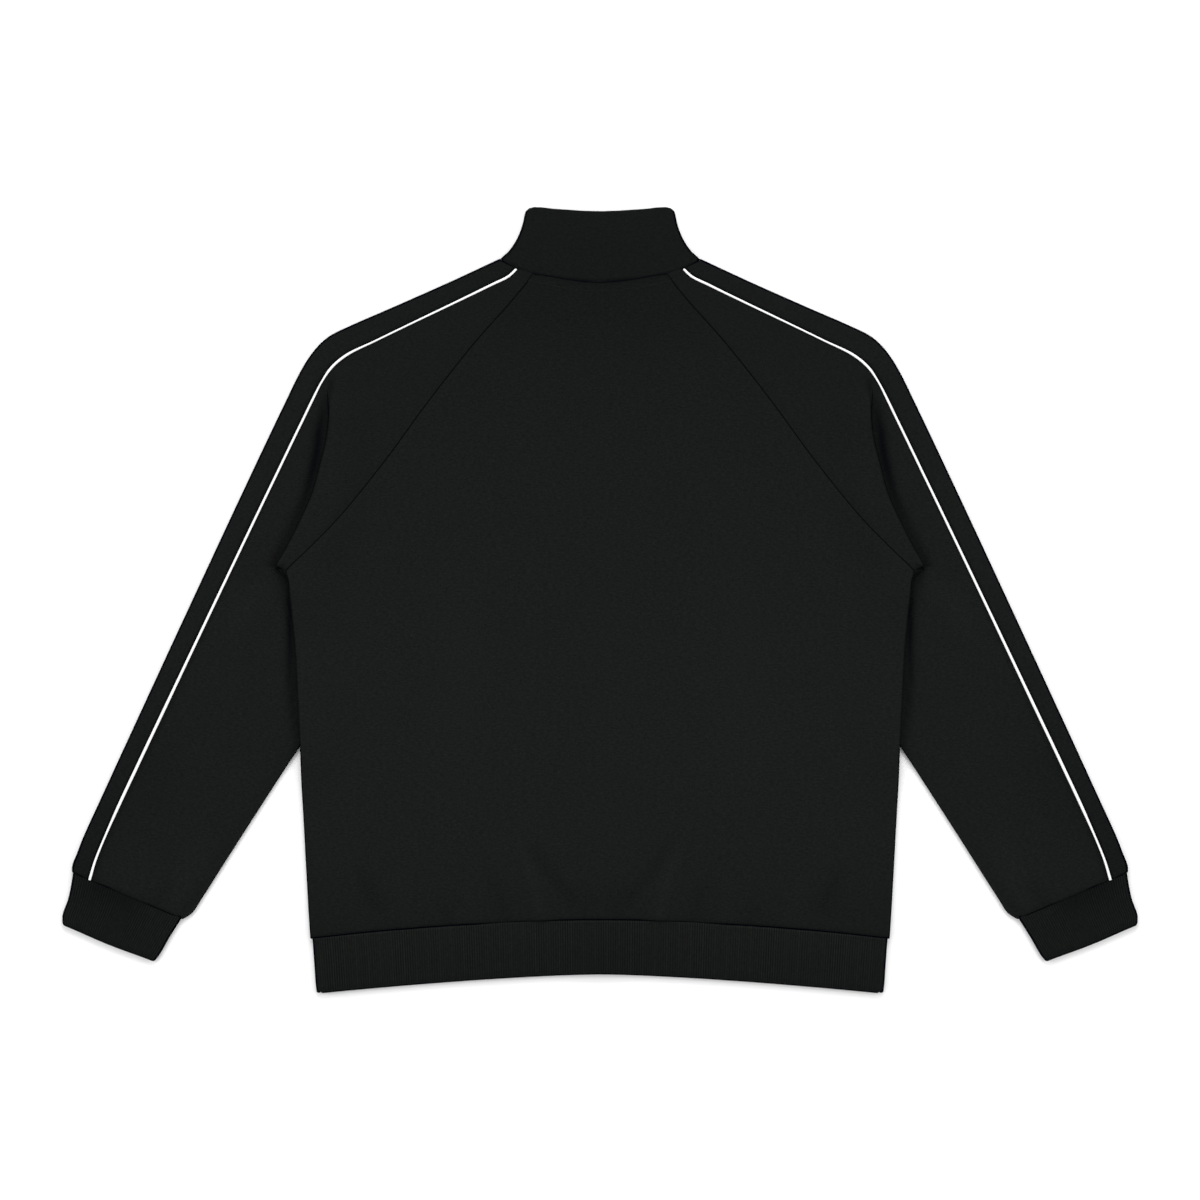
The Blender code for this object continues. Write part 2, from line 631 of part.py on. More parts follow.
def cuff_row(level, outer_a, outer_y, inner_a, inner_y):
    """One level of a cuff, all the way round the flattened tube."""
    size = math.hypot(outer_a - inner_a, outer_y - inner_y)
    out = ((outer_a - inner_a) / size, (outer_y - inner_y) / size)
    high, low = RIB_LEVEL + RIB_STEP / 2, RIB_LEVEL - RIB_STEP / 2

    def spot(share):
        return inner_a + (outer_a - inner_a) * share, inner_y + (outer_y - inner_y) * share

    row = [((*spot(share), high), UP) for share in CUFF_COLUMNS]
    row += turn_under((outer_a, outer_y), out, high, low, RIB)
    row += [((*spot(share), low), DOWN) for share in reversed(CUFF_COLUMNS)]
    under = turn_under((inner_a, inner_y), (-out[0], -out[1]), high, low, RIB)
    return row + under[::-1]


def make_cuff(name, side):
    wall(name, [cuff_row(*row) for row in CUFF_ROWS], RIB, "rib", side, ring=True)


# ---- zip ------------------------------------------------------------------------------------------------

def chain_height(y):
    """The middle of the zip's chain: on the body's cloth, on the thicker hem band and collar, over the pull."""
    hem, neck = TRIM_STARTS
    on_trim = smooth((hem - y) / TRIM_SLOPE) + smooth((y - neck) / TRIM_SLOPE)
    return CLOTH + SEAM + TAPE_HALF + on_trim * (RIB - CLOTH) + front_rise(0.0, y)


def make_tape(name, side):
    """One tape with its row of teeth as a plain bead."""
    outline = ((TEETH_GAP, -TEETH_HALF), (TEETH_REACH, -TEETH_HALF), (TEETH_REACH, -TAPE_HALF),
               (TAPE_REACH, -TAPE_HALF), (TAPE_REACH, TAPE_HALF), (TEETH_REACH, TAPE_HALF),
               (TEETH_REACH, TEETH_HALF), (TEETH_GAP, TEETH_HALF))
    hem, neck = TRIM_STARTS
    half = TRIM_SLOPE / 2
    stops = evenly(ZIP_FOOT, hem, 3) + [hem + half, neck, neck + half]
    stops += evenly(neck + TRIM_SLOPE, ZIP_TOP, 6)
    sections = [[(a, y, chain_height(y) + z) for a, z in outline] for y in stops]
    bar(name, sections, "zip_tape", side)


def block(name, low, high, material):
    """A rectangular block between two corners in millimetres."""
    (x0, y0, z0), (x1, y1, z1) = low, high
    sections = [[(x0, y, z0), (x1, y, z0), (x1, y, z1), (x0, y, z1)] for y in (y0, y1)]
    return bar(name, sections, material)


def join(whole, more):
    for extra in more:
        union = whole.modifiers.new("join_" + extra.name, "BOOLEAN")
        union.operation = "UNION"
        union.object = extra
        extra.hide_render = True
        extra.display_type = "WIRE"


def pin_height():
    return chain_height(SLIDER_Y) - SLIDER_CAVITY - SLIDER_PLATE - BRIDGE_ROOM / 2


def make_slider():
    """Two plates round the chain, joined by a post above its end, and the bridge that the pull hangs on."""
    z = chain_height(SLIDER_Y)
    wide, start, stop = SLIDER_WIDTH / 2, SLIDER_Y - SLIDER_LENGTH / 2, SLIDER_Y + SLIDER_LENGTH / 2
    reach = SLIDER_CAVITY + SLIDER_PLATE
    slider = block("zip_slider", (-wide, start, z + SLIDER_CAVITY), (wide, stop, z + reach), "zip_metal")
    lower = block("slider_lower_plate", (-wide, start, z - reach), (wide, stop, z - SLIDER_CAVITY), "zip_metal")
    post_half = SLIDER_POST_WIDTH / 2
    post = block("slider_post", (-post_half, stop - SLIDER_POST, z - SLIDER_CAVITY - OVERLAP),
                 (post_half, stop, z + SLIDER_CAVITY + OVERLAP), "zip_metal")
    half, foot = BRIDGE_WIDTH / 2, z - reach
    near, far = SLIDER_Y - BRIDGE_LENGTH / 2, SLIDER_Y + BRIDGE_LENGTH / 2
    under = foot - BRIDGE_ROOM
    rail = block("bridge_bar", (-half, near, under - BRIDGE_BAR), (half, far, under), "zip_metal")
    legs = [block("bridge_leg_" + end, (-half, y, under - OVERLAP), (half, y + BRIDGE_LEG, foot + OVERLAP),
                  "zip_metal") for end, y in (("near", near), ("far", far - BRIDGE_LEG))]
    join(slider, [lower, post, rail] + legs)


def make_pull():
    """A tongue with an open eye; its cross pin passes under the bridge, and its tip rests on the surface."""
    tilt = math.radians(PULL_TILT)
    half = PULL_THICK / 2

    def piece(name, x0, x1, back0, back1):
        return block(name, (x0, -back1, -half), (x1, -back0, half), "zip_metal")

    wide = PULL_WIDTH / 2
    arm = wide - PULL_ARM_INSET
    tongue = piece("zip_pull", -wide, wide, PULL_EYE, PULL_LENGTH - PULL_CORNER)
    tip = piece("pull_tip", PULL_CORNER - wide, wide - PULL_CORNER, PULL_EYE, PULL_LENGTH)
    arms = [piece("pull_arm_" + label, x, x + PULL_ARM, -PULL_ARM_END, PULL_EYE + OVERLAP)
            for label, x in (("left", -arm), ("right", arm - PULL_ARM))]
    pin = piece("pull_pin", -arm, arm, -PIN_RADIUS, PIN_RADIUS)
    join(tongue, [tip, pin] + arms)
    for part in (tongue, tip, pin, *arms):
        part.location = (0.0, SLIDER_Y * MM, pin_height() * MM)
        part.rotation_euler = (tilt, 0.0, 0.0)


def make_zip_box():
    """The box at the zip's foot that takes the pin."""
    wide, long, thick = BOX_SIZE
    z = chain_height(ZIP_FOOT)
    top = ZIP_FOOT - SEAM
    block("zip_box", (-wide / 2, top - long, z - thick / 2), (wide / 2, top, z + thick / 2), "zip_metal")


def main():
    for thing in list(bpy.data.objects):
        bpy.data.objects.remove(thing, do_unlink=True)
    make_back()
    make_collar()
    make_hem_band()
    for label, side in (("left", -1), ("right", 1)):
        make_front("front_" + label, side)
        wall("sleeve_back_" + label, sleeve_rows(True), CLOTH, "fleece", side)
        wall("sleeve_front_" + label, sleeve_rows(False), CLOTH, "fleece", side)
        wall("sleeve_stripe_" + label, strip_rows(), CLOTH, "fleece", side)
        bar("piping_back_" + label, piping_sections("back"), "piping", side)
        bar("piping_front_" + label, piping_sections("front"), "piping", side)
        make_cuff("cuff_" + label, side)
        make_tape("zip_tape_" + label, side)
    make_slider()
    make_pull()
    make_zip_box()


main()
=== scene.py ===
import math

import bpy
import numpy as np
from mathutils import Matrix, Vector


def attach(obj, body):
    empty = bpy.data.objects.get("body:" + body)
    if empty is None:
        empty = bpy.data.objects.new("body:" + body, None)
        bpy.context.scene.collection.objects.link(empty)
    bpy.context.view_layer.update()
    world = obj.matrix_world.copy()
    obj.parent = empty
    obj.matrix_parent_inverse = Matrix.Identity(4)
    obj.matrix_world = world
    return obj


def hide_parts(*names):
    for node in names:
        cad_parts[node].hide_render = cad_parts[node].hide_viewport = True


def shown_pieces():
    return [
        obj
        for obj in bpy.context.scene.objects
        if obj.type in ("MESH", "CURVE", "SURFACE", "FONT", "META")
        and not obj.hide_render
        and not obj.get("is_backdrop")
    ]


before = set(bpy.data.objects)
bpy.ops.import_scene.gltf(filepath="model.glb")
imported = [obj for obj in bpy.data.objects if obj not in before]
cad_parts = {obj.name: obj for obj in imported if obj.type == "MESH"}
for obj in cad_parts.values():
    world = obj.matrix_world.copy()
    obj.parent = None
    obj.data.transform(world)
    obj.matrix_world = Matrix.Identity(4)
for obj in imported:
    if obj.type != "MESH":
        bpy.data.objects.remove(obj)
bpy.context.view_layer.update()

mm = 0.001
sides = (("Left", "left", -1), ("Right", "right", 1))

# Cloth walls in millimetres, the air between two layers, and how the edges are rounded at seams and folds.
cloth = {"wall": 1.8, "air": 0.6, "seamRound": 1.5, "rollRound": 0.5, "rollTurn": 1.45, "cell": 4.6}
ribCloth = {"wall": 2.6, "air": 0.6, "seamRound": 1.8, "foldRound": 1.5, "pitch": 2.3, "groove": 0.34,
            "columns": 4, "cell": 5.0, "patternHeight": 52.0, "grooveReach": 32.5}
step = cloth["wall"] + cloth["air"]
level = (cloth["wall"] + step) / 2
ribStep = ribCloth["wall"] + ribCloth["air"]
ribLevel = (ribCloth["wall"] + ribStep) / 2
halfWall, halfStep, halfRib, halfRibStep = cloth["wall"] / 2, step / 2, ribCloth["wall"] / 2, ribStep / 2
rollInset = halfStep + halfWall - halfStep * cloth["rollTurn"]
mirror = np.array((-1.0, 1.0, 1.0))


# Curves and fields:


def smooth(t):
    t = np.clip(t, 0.0, 1.0)
    return t * t * (3.0 - 2.0 * t)


def bump(t):
    return np.cos(0.5 * math.pi * np.clip(np.abs(t), 0.0, 1.0)) ** 2


def bell(x, width):
    return np.exp(-(x / width) ** 2)


def flow(xs, values, x):
    # a smooth curve through rising xs that never swings past its values, read at x
    xs, values = np.asarray(xs, float), np.asarray(values, float)
    gaps = np.diff(xs)
    rates = np.diff(values) / gaps
    slopes = np.zeros(len(xs))
    slopes[0], slopes[-1] = rates[0], rates[-1]
    turning = rates[:-1] * rates[1:] <= 0.0
    total = np.where(turning, 1.0, rates[:-1] + rates[1:])
    slopes[1:-1] = np.where(turning, 0.0, 2.0 * rates[:-1] * rates[1:] / total)
    x = np.clip(x, xs[0], xs[-1])
    i = np.clip(np.searchsorted(xs, x, side="right") - 1, 0, len(gaps) - 1)
    t = (x - xs[i]) / gaps[i]
    return ((1 + 2 * t) * (1 - t) ** 2 * values[i] + t * (1 - t) ** 2 * gaps[i] * slopes[i]
            + t * t * (3 - 2 * t) * values[i + 1] - t * t * (1 - t) * gaps[i] * slopes[i + 1])


def fromTable(table, k, x):
    return flow(table[:, 0], table[:, k], x)


def marksAlong(points):
    return np.concatenate([[0.0], np.cumsum(np.linalg.norm(np.diff(points, axis=0), axis=1))])


class PlanCurve:
    # a smooth curve in plan, read by the distance along it
    def __init__(self, points):
        self.points = np.array(points, float)
        self.marks = marksAlong(self.points)
        self.length = self.marks[-1]

    def at(self, along):
        return np.stack([flow(self.marks, self.points[:, 0], along),
                         flow(self.marks, self.points[:, 1], along)], -1)

    def outward(self, along):
        run = self.at(np.minimum(along + 2.0, self.length)) - self.at(np.maximum(along - 2.0, 0.0))
        run = run / np.linalg.norm(run, axis=-1, keepdims=True)
        return np.stack([-run[..., 1], run[..., 0]], -1)


def fromLine(a, y, line):
    # how far plan points are from a line of plan points, and how far along it their nearest places are
    line = np.array(line, float)
    marks = marksAlong(line)
    best, along = np.full(np.shape(a), 1e9), np.zeros(np.shape(a))
    for (a0, y0), (a1, y1), mark, nextMark in zip(line[:-1], line[1:], marks[:-1], marks[1:]):
        da, dy = a1 - a0, y1 - y0
        t = np.clip(((a - a0) * da + (y - y0) * dy) / (da * da + dy * dy), 0.0, 1.0)
        away = np.hypot(a - a0 - t * da, y - y0 - t * dy)
        along = np.where(away < best, mark + t * (nextMark - mark), along)
        best = np.minimum(best, away)
    return best, along, marks[-1]


# The jacket's plan:

armpit = (301.0, 28.8)
shoulder = (95.8, 328.5)
pipingRun = ((135.4, 288), (215.1, 249.6), (240, 237), (254, 226.6), (266.5, 211.2), (276.4, 192),
    (322.8, 96), (368.8, 0), (414.4, -96), (459.8, -192), (484.5, -249.6), (489.5, -268))
plan = {
    "raglan": PlanCurve(((64.2, 312.7), (84.5, 288), (118.6, 249.6), (164.2, 192), (206.4, 134.4),
        (253, 76.8), armpit)),
    "armEdge": PlanCurve((shoulder, (143.6, 306.3), (201.3, 280.7), (239.7, 264), (259.1, 254.5),
        (268.7, 246.7), (278.3, 235.3), (287.9, 219.7), (301.5, 192.1), (347, 96.1), (391.7, 0.1),
        (436.1, -95.9), (480.2, -191.9), (497.6, -230.3), (502.9, -244.2), (505.5, -250.4), (507.1, -256.3),
        (507, -261))),
    "pipingBack": PlanCurve(((80.2, 318.7), (88.3, 311), (103.5, 303.4)) + pipingRun),
    "pipingFront": PlanCurve(((92.5, 309), (103.5, 303.2)) + pipingRun),
    "underarm": PlanCurve(((288, 10), (279.8, -9.6), (272.2, -48), (270.2, -86.4), (276, -115),
        (287.5, -139.2), (297, -153.6), (346.6, -230.4), (383.6, -288.4), (391.6, -300.4), (400.6, -305.8))),
}
armLength = plan["armEdge"].length
piping = {"radius": 1.3, "sides": 12, "clothStart": 0.78, "lift": 0.25}
# Along the back piping: how far it bows outwards, and how thick it is.
pipingBow = np.array(((0, -0.3), (22, 0.1), (58, 0), (150, 0), (166, 0.22), (184, 0.74), (202, 0.74),
    (220, 0), (238, 0), (260, -0.18), (310, -0.12), (346, 0), (560, 0), (600, -0.12), (634, -0.25),
    (655, -0.1), (670, 0.02), (688, -0.15), (706, -0.3), (724, -0.1), (745, 0.3)))
pipingThickness = np.array(((0, 0.88), (22, 0.92), (40, 0.85), (58, 0.79), (94, 0.74), (112, 0.68),
    (148, 0.66), (166, 0.74), (184, 0.98), (202, 0.99), (220, 0.68), (238, 0.91), (292, 0.91), (400, 0.93),
    (472, 1), (508, 1.03), (544, 1.08), (562, 1.14), (598, 1.12), (634, 1.17), (670, 1.16), (688, 0.93),
    (706, 0.78), (724, 0.86), (745, 1.05)))


# Body: heights along the centre line, and the side seam as height y, distance a.
body = {"hemCentre": -307.2, "hemSide": -324.0, "hemBow": 1.9, "hemReach": 277.0, "neckCentre": 305.4,
        "frontNeckCentre": 259.5, "zipGap": 5.5, "cells": 58}
sideSeam = np.array(((-324, 278.4), (-316, 279), (-307, 279.6), (-262, 282.2), (-205, 285.3), (-175, 287),
    (-146, 288), (-100, 290.2), (-50, 292.7), (-12, 296), (10, 298.4), armpit[::-1]))


# Sleeve sections: distance along the arm's outer edge, then along the back and the front raglan seam.
shoulderRows = np.array(((0, 0, 31.2), (50, 30, 53), (100, 62, 76), (150, 92, 99), (200, 121.8, 121.8)))
# Across the tuck: distance along the outer edge and the raglan seam, height y, visible fold, turn, hidden flat.
tuckRows = np.array(((225, 138.2, 206, 259.3, 32, 0), (238, 151.6, 195.5, 259.6, 80, 0),
    (251, 165.8, 184.2, 259.8, 132, 1), (280, 196, 160, 262.5, 180, 4), (312, 230.6, 132, 269, 180, 8),
    (344, 266.6, 104, 276.5, 180, 12), (372, 300, 78, 288, 180, 15), (396, 333.9, 54, 300, 180, 18),
    (414, 369.5, 33.3, 312, 180, 20)))
tuckTip, tuckFoot = (419.0, 31.0), (432.0, 10.0)
# Along the outer edge: where the tuck starts and is whole, and where the plain arm starts.
tuckFrom, tuckTo, armFrom = 200.0, 414.0, 470.0
armRows = np.array(((470, 40), (530, 100), (590, 160), (650, 228), (700, 285), (732, 330)))
# Where the body lies over the sleeve: height y, rise, and where it starts to fall.
sideRise = ((-200, 0, 286), (-175, 1.6, 286), (-150, 4.8, 286), (-140, 4.8, 283), (-115, 4.8, 271),
    (-86, 4.8, 265.5), (-56, 4.8, 267), (-34, 5.3, 270), (-12, 6.8, 275), (12, 9.6, 284))
riseFall = 52.0


def pipingSide(which, along, offset):
    # a plan point beside the piping's middle, offset outwards; along is read on the arm's outer edge
    line = plan["piping" + which]
    at = along * line.length / armLength
    bow = fromTable(pipingBow, 1, at) if which == "Back" else 0.0
    return line.at(at) + line.outward(at) * np.asarray(offset + bow)[..., None]


def tuckHeight(turn, tuck):
    return 2.0 * step * (1.0 - np.cos(np.radians(turn))) + tuck * np.sin(np.radians(turn))


def edgeInset(turn):
    return (1.5 * step + halfWall) * turn / 180.0


def makeTuckTable():
    # the tuck's sizes at closely spaced sections, so that they can be read by height too
    first = pipingSide("Back", tuckFrom, -piping["clothStart"])
    rows = np.vstack([(tuckFrom, 121.8, first[1], first[0], 0.0, 0.0), tuckRows])
    along = np.linspace(tuckFrom, tuckTo, 430)
    return {name: fromTable(rows, k, along)
            for k, name in enumerate(("along", "seam", "y", "edge", "turn", "flat"))}


tuckTable = makeTuckTable()


def tuckAt(along):
    return {name: np.interp(along, tuckTable["along"], values) for name, values in tuckTable.items()}


def makeRiseTable():
    rows = [tuple(row) for row in sideRise]
    t = tuckTable
    tops = tuckHeight(t["turn"], t["flat"])
    starts = t["edge"] - edgeInset(t["turn"]) - t["flat"] - 1.0
    rows += [(t["y"][k], tops[k], starts[k]) for k in range(len(tops) - 1, -1, -1)]
    return np.array(rows)


riseTable = makeRiseTable()


def rise(a, y):
    # how far both layers of the body, and the flap of the tuck, lie above their level on the bare surface
    split = tuckRows[-1, 2]
    low = riseTable[riseTable[:, 0] <= split + 0.01]
    top = np.where(y < split, fromTable(low, 1, y), np.interp(y, riseTable[:, 0], riseTable[:, 1]))
    start = np.where(y < split, fromTable(low, 2, y), np.interp(y, riseTable[:, 0], riseTable[:, 2]))
    return top * (1.0 - smooth((start - a) / riseFall))


def frontRise(a, y):
    return 1.8 * bell(a, 35.0) * bump((y - 327.0) / 70.0)


def backRise(a, y):
    overZip = 2.1 * bell(a, 24.0)
    overCollar = smooth((y - 225.0) / 35.0) * smooth((150.0 - a) / 50.0)
    overSlider = 2.9 * bell(a, 35.0) * bump((y - 327.0) / 60.0)
    return overZip + overCollar + overSlider


# Soft shape of the cloth:

# How the upper layer lies: standing off the lower one, held down along seams, and blousing over the ribs.
soft = {"loft": 1.6, "edgeRound": 12.0, "neckStep": 1.2, "ribStep": 2.2, "blouse": 1.1, "blouseFrom": 4.0,
        "blouseFade": 52.0, "overlap": 0.6}
# Ridges and troughs of the upper layer: height, width, the share of the length that fades at each end, then the
# line that it follows.
backFolds = (
    (-1.3, 7, 0.5, 0.2, (236, -246), (229, -264), (222, -280), (212, -298), (208, -306)),
    (0.8, 9, 0.5, 0, (202, -252), (190, -284), (182, -318)),
    (-0.9, 4, 0.6, 0, (152, -286), (148, -297.6), (145, -314)),
    (0.6, 8, 0.6, 0, (126, -256), (122, -290), (122, -312)),
    (-0.9, 7, 0.5, 0, (112, -250), (102, -274), (88, -311)),
    (1.5, 6.5, 0.6, 0, (86, -206), (76, -236), (65, -268), (57, -300), (55, -310)),
    (-1.3, 6, 0.6, 0.1, (88, -200), (70, -234), (50, -262), (35, -279), (22, -297)),
    (-0.8, 12, 0.6, 0, (20, -262), (14, -290), (12, -312)),
    (0.5, 28, 0.4, 0.4, (136, -240), (138, -120), (134, 0), (132, 90)),
)
sleeveFolds = (
    (1.3, 11, 0.5, 0.5, (300, 34), (318, 12), (338, -6), (356, -36), (364, -64)),
    (-0.4, 20, 0.4, 0.4, (404, -140), (424, -186), (436, -228)),
    (1.2, 14, 0.5, 0, (372, -214), (388, -244), (404, -290)),
    (-1, 8, 0.5, 0, (404, -262), (420, -282), (434, -296)),
    (0.8, 7, 0.6, 0, (462, -246), (470, -262), (480, -276)),
)
# Where the sleeve disappears under the tuck, the body's side or its own underarm seam, as height y, distance a.
hidingEdge = np.array(((-346, 430), (-305.8, 400.6), (-288.4, 383.6), (-230.4, 346.6), (-153.6, 297),
    (-139, 288.2), (-100, 290.2), (-50, 292.7), (-12, 296), (16, 299), (27.4, 301), (33.3, 312), (54, 300),
    (78, 288), (104, 276.5), (132, 269), (160, 262.5), (184.2, 259.8), (206, 259.3), (330, 240)))
# The shade in the hollow outside that edge: height y, strength, how far out it is deepest, and how far it spreads.
hollow = np.array(((-156, 0, 1.5, 2.5), (-144, 0.3, 2.4, 3), (-125, 0.5, 4, 3.4), (-100, 0.66, 5.6, 4),
    (-60, 0.86, 5.6, 4.2), (-30, 1.1, 3.2, 3.3), (-12, 1.1, 1.8, 2.8), (0, 1, 1.6, 2.6),
    (10, 0.66, 1.2, 2.2), (20, 0.32, 1.2, 2.4), (27, 0.8, 1.2, 2.2), (30, 1, 1.2, 2.8), (33, 0.8, 1.4, 3),
    (36, 0.5, 2.4, 3.4), (42, 0.4, 3.4, 3.6), (55, 0.3, 3.4, 3.8), (71, 0.32, 2.8, 4), (90, 0.5, 3.4, 4.2),
    (109, 0.78, 4.5, 4.2), (131, 0.98, 5, 4.5), (147, 0.98, 5.7, 4.5), (160, 0.97, 7.4, 4.6),
    (171, 0.76, 6.8, 4.2), (179, 0.45, 6, 4.6), (188, 0.18, 5.4, 4.6), (200, 0, 5, 4)))
# Painted shade that changes slowly from the hem to the neck, as height y and share, on the body, on the sleeves and,
# by the distance along the arm, on the strip.
bodyShade = np.array(((-330, 0.88), (-305, 0.93), (-292, 0.95), (-280, 0.975), (-265, 1.01), (-250, 1.03),
    (-230, 1.045), (-200, 1.05), (-120, 1.06), (0, 1.02), (60, 1), (120, 0.98), (160, 0.95), (200, 0.92),
    (240, 0.885), (260, 0.84), (280, 0.79), (300, 0.775)))
sleeveShade = np.array(((-310, 0.9), (-285, 0.97), (-250, 1), (0, 1), (60, 0.98), (120, 0.965), (150, 0.94),
    (200, 0.91), (230, 0.9), (270, 0.885), (300, 0.85)))
stripShade = np.array(((0, 0.84), (100, 0.89), (250, 0.92), (400, 0.95), (520, 0.95), (600, 0.91),
    (660, 0.87), (732, 0.8), (770, 0.77)))
cuffSeam = ((507, -261), (400.6, -305.8))
cuffOut = np.array((0.385, -0.923))


def rounded(t):
    return np.sqrt(1.0 - (1.0 - np.clip(t, 0.0, 1.0)) ** 2)


def foldField(a, y, folds):
    total = np.zeros(np.shape(a))
    for height, width, fadeStart, fadeEnd, *line in folds:
        away, along, length = fromLine(a, y, line)
        ends = smooth(along / (fadeStart * length)) if fadeStart else 1.0
        if fadeEnd:
            ends = ends * smooth((length - along) / (fadeEnd * length))
        total = total + height * ends * bell(away, width)
    return total


raglanLine = plan["raglan"].at(np.linspace(0.0, plan["raglan"].length, 25))
pipingLine = plan["pipingBack"].at(np.linspace(0.0, plan["pipingBack"].length, 41))


def hemSeamY(a):
    a = np.minimum(a, body["hemReach"])
    return body["hemCentre"] + (body["hemSide"] - body["hemCentre"]) * (a / body["hemReach"]) ** body["hemBow"]


def neckCurve(a, centre, lift, reach, heights):
    # a bow up to where the raglan seam starts, then straight to the shoulder
    return np.where(a < reach[0], centre + lift * (a / reach[0]) ** 2, np.interp(a, reach, heights))


def neckSeamY(a):
    return neckCurve(a, body["neckCentre"], 7.4, (65.5, 80.2, shoulder[0]), (312.8, 318.7, shoulder[1]))


def neckLift(a):
    # how far the upper layer's neck edge stands over the collar
    return flow((0.0, 15.0, 30.0, 52.0, 66.0, 72.0, 82.0, 92.0), (0.2, 0.7, 1.5, 2.4, 1.4, 1.3, 0.5, 0.0), a)


def overNeck(mid):
    # moves the end of the upper layer over the collar
    a = np.abs(mid[..., 0])
    above = mid[..., 1] - neckSeamY(np.minimum(a, shoulder[0]))
    mid[..., 2] += 0.9 * smooth((above + 6.0) / 6.0) * smooth((93.0 - a) / 16.0)
    mid[..., 1] += neckLift(a) * smooth((above + 11.0) / 10.0) * (a < 96.0)
    return mid


def frontNeckSeamY(a):
    return neckCurve(a, body["frontNeckCentre"], 28.5, (84.5, 92.5, shoulder[0]), (288.0, 309.0, shoulder[1]))


def blousing(a):
    # the share of its overlap that the body's lower edge has over the band: less in the middle
    return smooth((a - 60.0) / 80.0)


def blouse(base, away, ribStep):
    # the shape of cloth that is sewn to a tighter rib: it starts above the rib, swells and settles to its base
    swell = ribStep + soft["blouse"] * smooth(away / soft["blouseFrom"])
    return swell + (base - swell) * smooth((away - soft["blouseFrom"]) / soft["blouseFade"])


def loft(a, y):
    raglanAway = fromLine(a, y, raglanLine)[0]
    pipingAway = fromLine(a, y, pipingLine)[0]
    neckAway = neckSeamY(np.minimum(a, 95.5)) - y
    hold = (1.0 - 0.4 * bell(raglanAway, 4.0)) * (1.0 - 0.45 * bell(pipingAway, 5.0))
    hold = hold * smooth((neckAway + 1.0) / 30.0)
    return soft["loft"] * hold + soft["neckStep"] * (1.0 - smooth(neckAway / 14.0))


def sideHold(a, y):
    # the upper layer comes down to the side seam
    edge = fromTable(sideSeam, 1, np.minimum(y, armpit[1]))
    held = rounded((edge - a) / soft["edgeRound"])
    return held + (1.0 - held) * smooth((y - armpit[1]) / 40.0)


def backSoft(a, y):
    folds = foldField(a, y, backFolds)
    return np.maximum(blouse(loft(a, y), y - hemSeamY(a), soft["ribStep"]) + folds, -0.2) * sideHold(a, y)


def beyondEdge(a, y):
    return a - np.interp(y, hidingEdge[:, 0], hidingEdge[:, 1])


def armSoft(a, y):
    # the upper layer of the arm, outside the edge that hides the rest of it
    away = fromLine(a, y, cuffSeam)[0]
    base = loft(a, y) + foldField(a, y, sleeveFolds)
    return np.maximum(blouse(base, away, soft["ribStep"]), -0.2) * smooth((beyondEdge(a, y) - 1.0) / 14.0)


def flapSoft(a, y):
    return loft(a, y) * sideHold(a, y)


# Painted light and shade of the cloth, carried by its points:


def foldTone(a, y, folds):
    # painted shade in the troughs of the folds and a painted highlight on their ridges
    field = foldField(a, y, folds)
    return 1.0 + 0.075 * np.clip(field, 0.0, 1.6) + 0.1 * np.clip(field, -1.6, 0.0)


def bodyTone(a, y):
    # painted shade and highlight of the folds, a painted highlight on the band just below the neck seam, over the
    # seam allowance, and the slow painted shade from hem to neck
    neckSeamHighlight = 0.06 * bump((neckSeamY(np.minimum(np.abs(a), 95.0)) - y - 4.5) / 4.0)
    return (foldTone(a, y, backFolds) + neckSeamHighlight) * fromTable(bodyShade, 1, y)


def hollowTone(a, y):
    # painted shadow in the hollow just outside the edge that hides the sleeve
    out = beyondEdge(a, y) * 0.95
    strength, deepest, spread = (np.interp(y, hollow[:, 0], hollow[:, k]) for k in (1, 2, 3))
    return 1.0 - 0.64 * strength * np.exp(-((out - deepest) / spread) ** 2)


def sleeveTone(a, y):
    # painted shade beside the piping, more so towards the cuff, and where the flap rises to the tuck, to dim the
    # light that the rise catches there
    pipingAway = fromLine(a, y, pipingLine)[0]
    beside = (0.05 * bell(pipingAway, 8.0)
              + 0.08 * bell(pipingAway, 28.0) * smooth((-60.0 - y) / 120.0))
    rising = 0.07 * np.exp(-((a - 238.0) ** 2 + (y - 197.0) ** 2) / 16.0 ** 2)
    return fromTable(sleeveShade, 1, y) * (1.0 - beside) * (1.0 - rising)


def edgeTone(thin, normal, steep=0.86, reach=0.13, least=0.05):
    # rims and folded edges turn away from the light
    return (0.4 + 0.6 * thin) * (least + (1.0 - least) * smooth((np.abs(normal[..., 2]) - steep) / reach))


def seamTone(away, depth, width, core=0.0):
    # painted shade in a seam: darker by depth up to core away from it, fading out over width
    return 1.0 - depth * (1.0 - smooth((away - core) / width))


def hemLine(a):
    # how dark the painted shadow line is, under the body's edge where it blouses over the band
    return 1.0 - 0.76 * bump((np.abs(a) - 60.0) / 24.0) - 0.42 * bump((np.abs(a) - 92.0) / 36.0)


# Cloth meshes:


def edgeThin(away, radius):
    # the share of the wall left this far from an edge that is rounded over that radius
    return rounded(away / radius)


def nearEdge(radius):
    return radius * np.array((0.0, 0.07, 0.26, 0.58, 1.0))


def spaced(start, end, cell):
    return np.linspace(start, end, max(2, int(math.ceil(abs(end - start) / cell)) + 1))


def placed(name, data):
    thing = bpy.data.objects.new(name, data)
    bpy.context.scene.collection.objects.link(thing)
    return thing


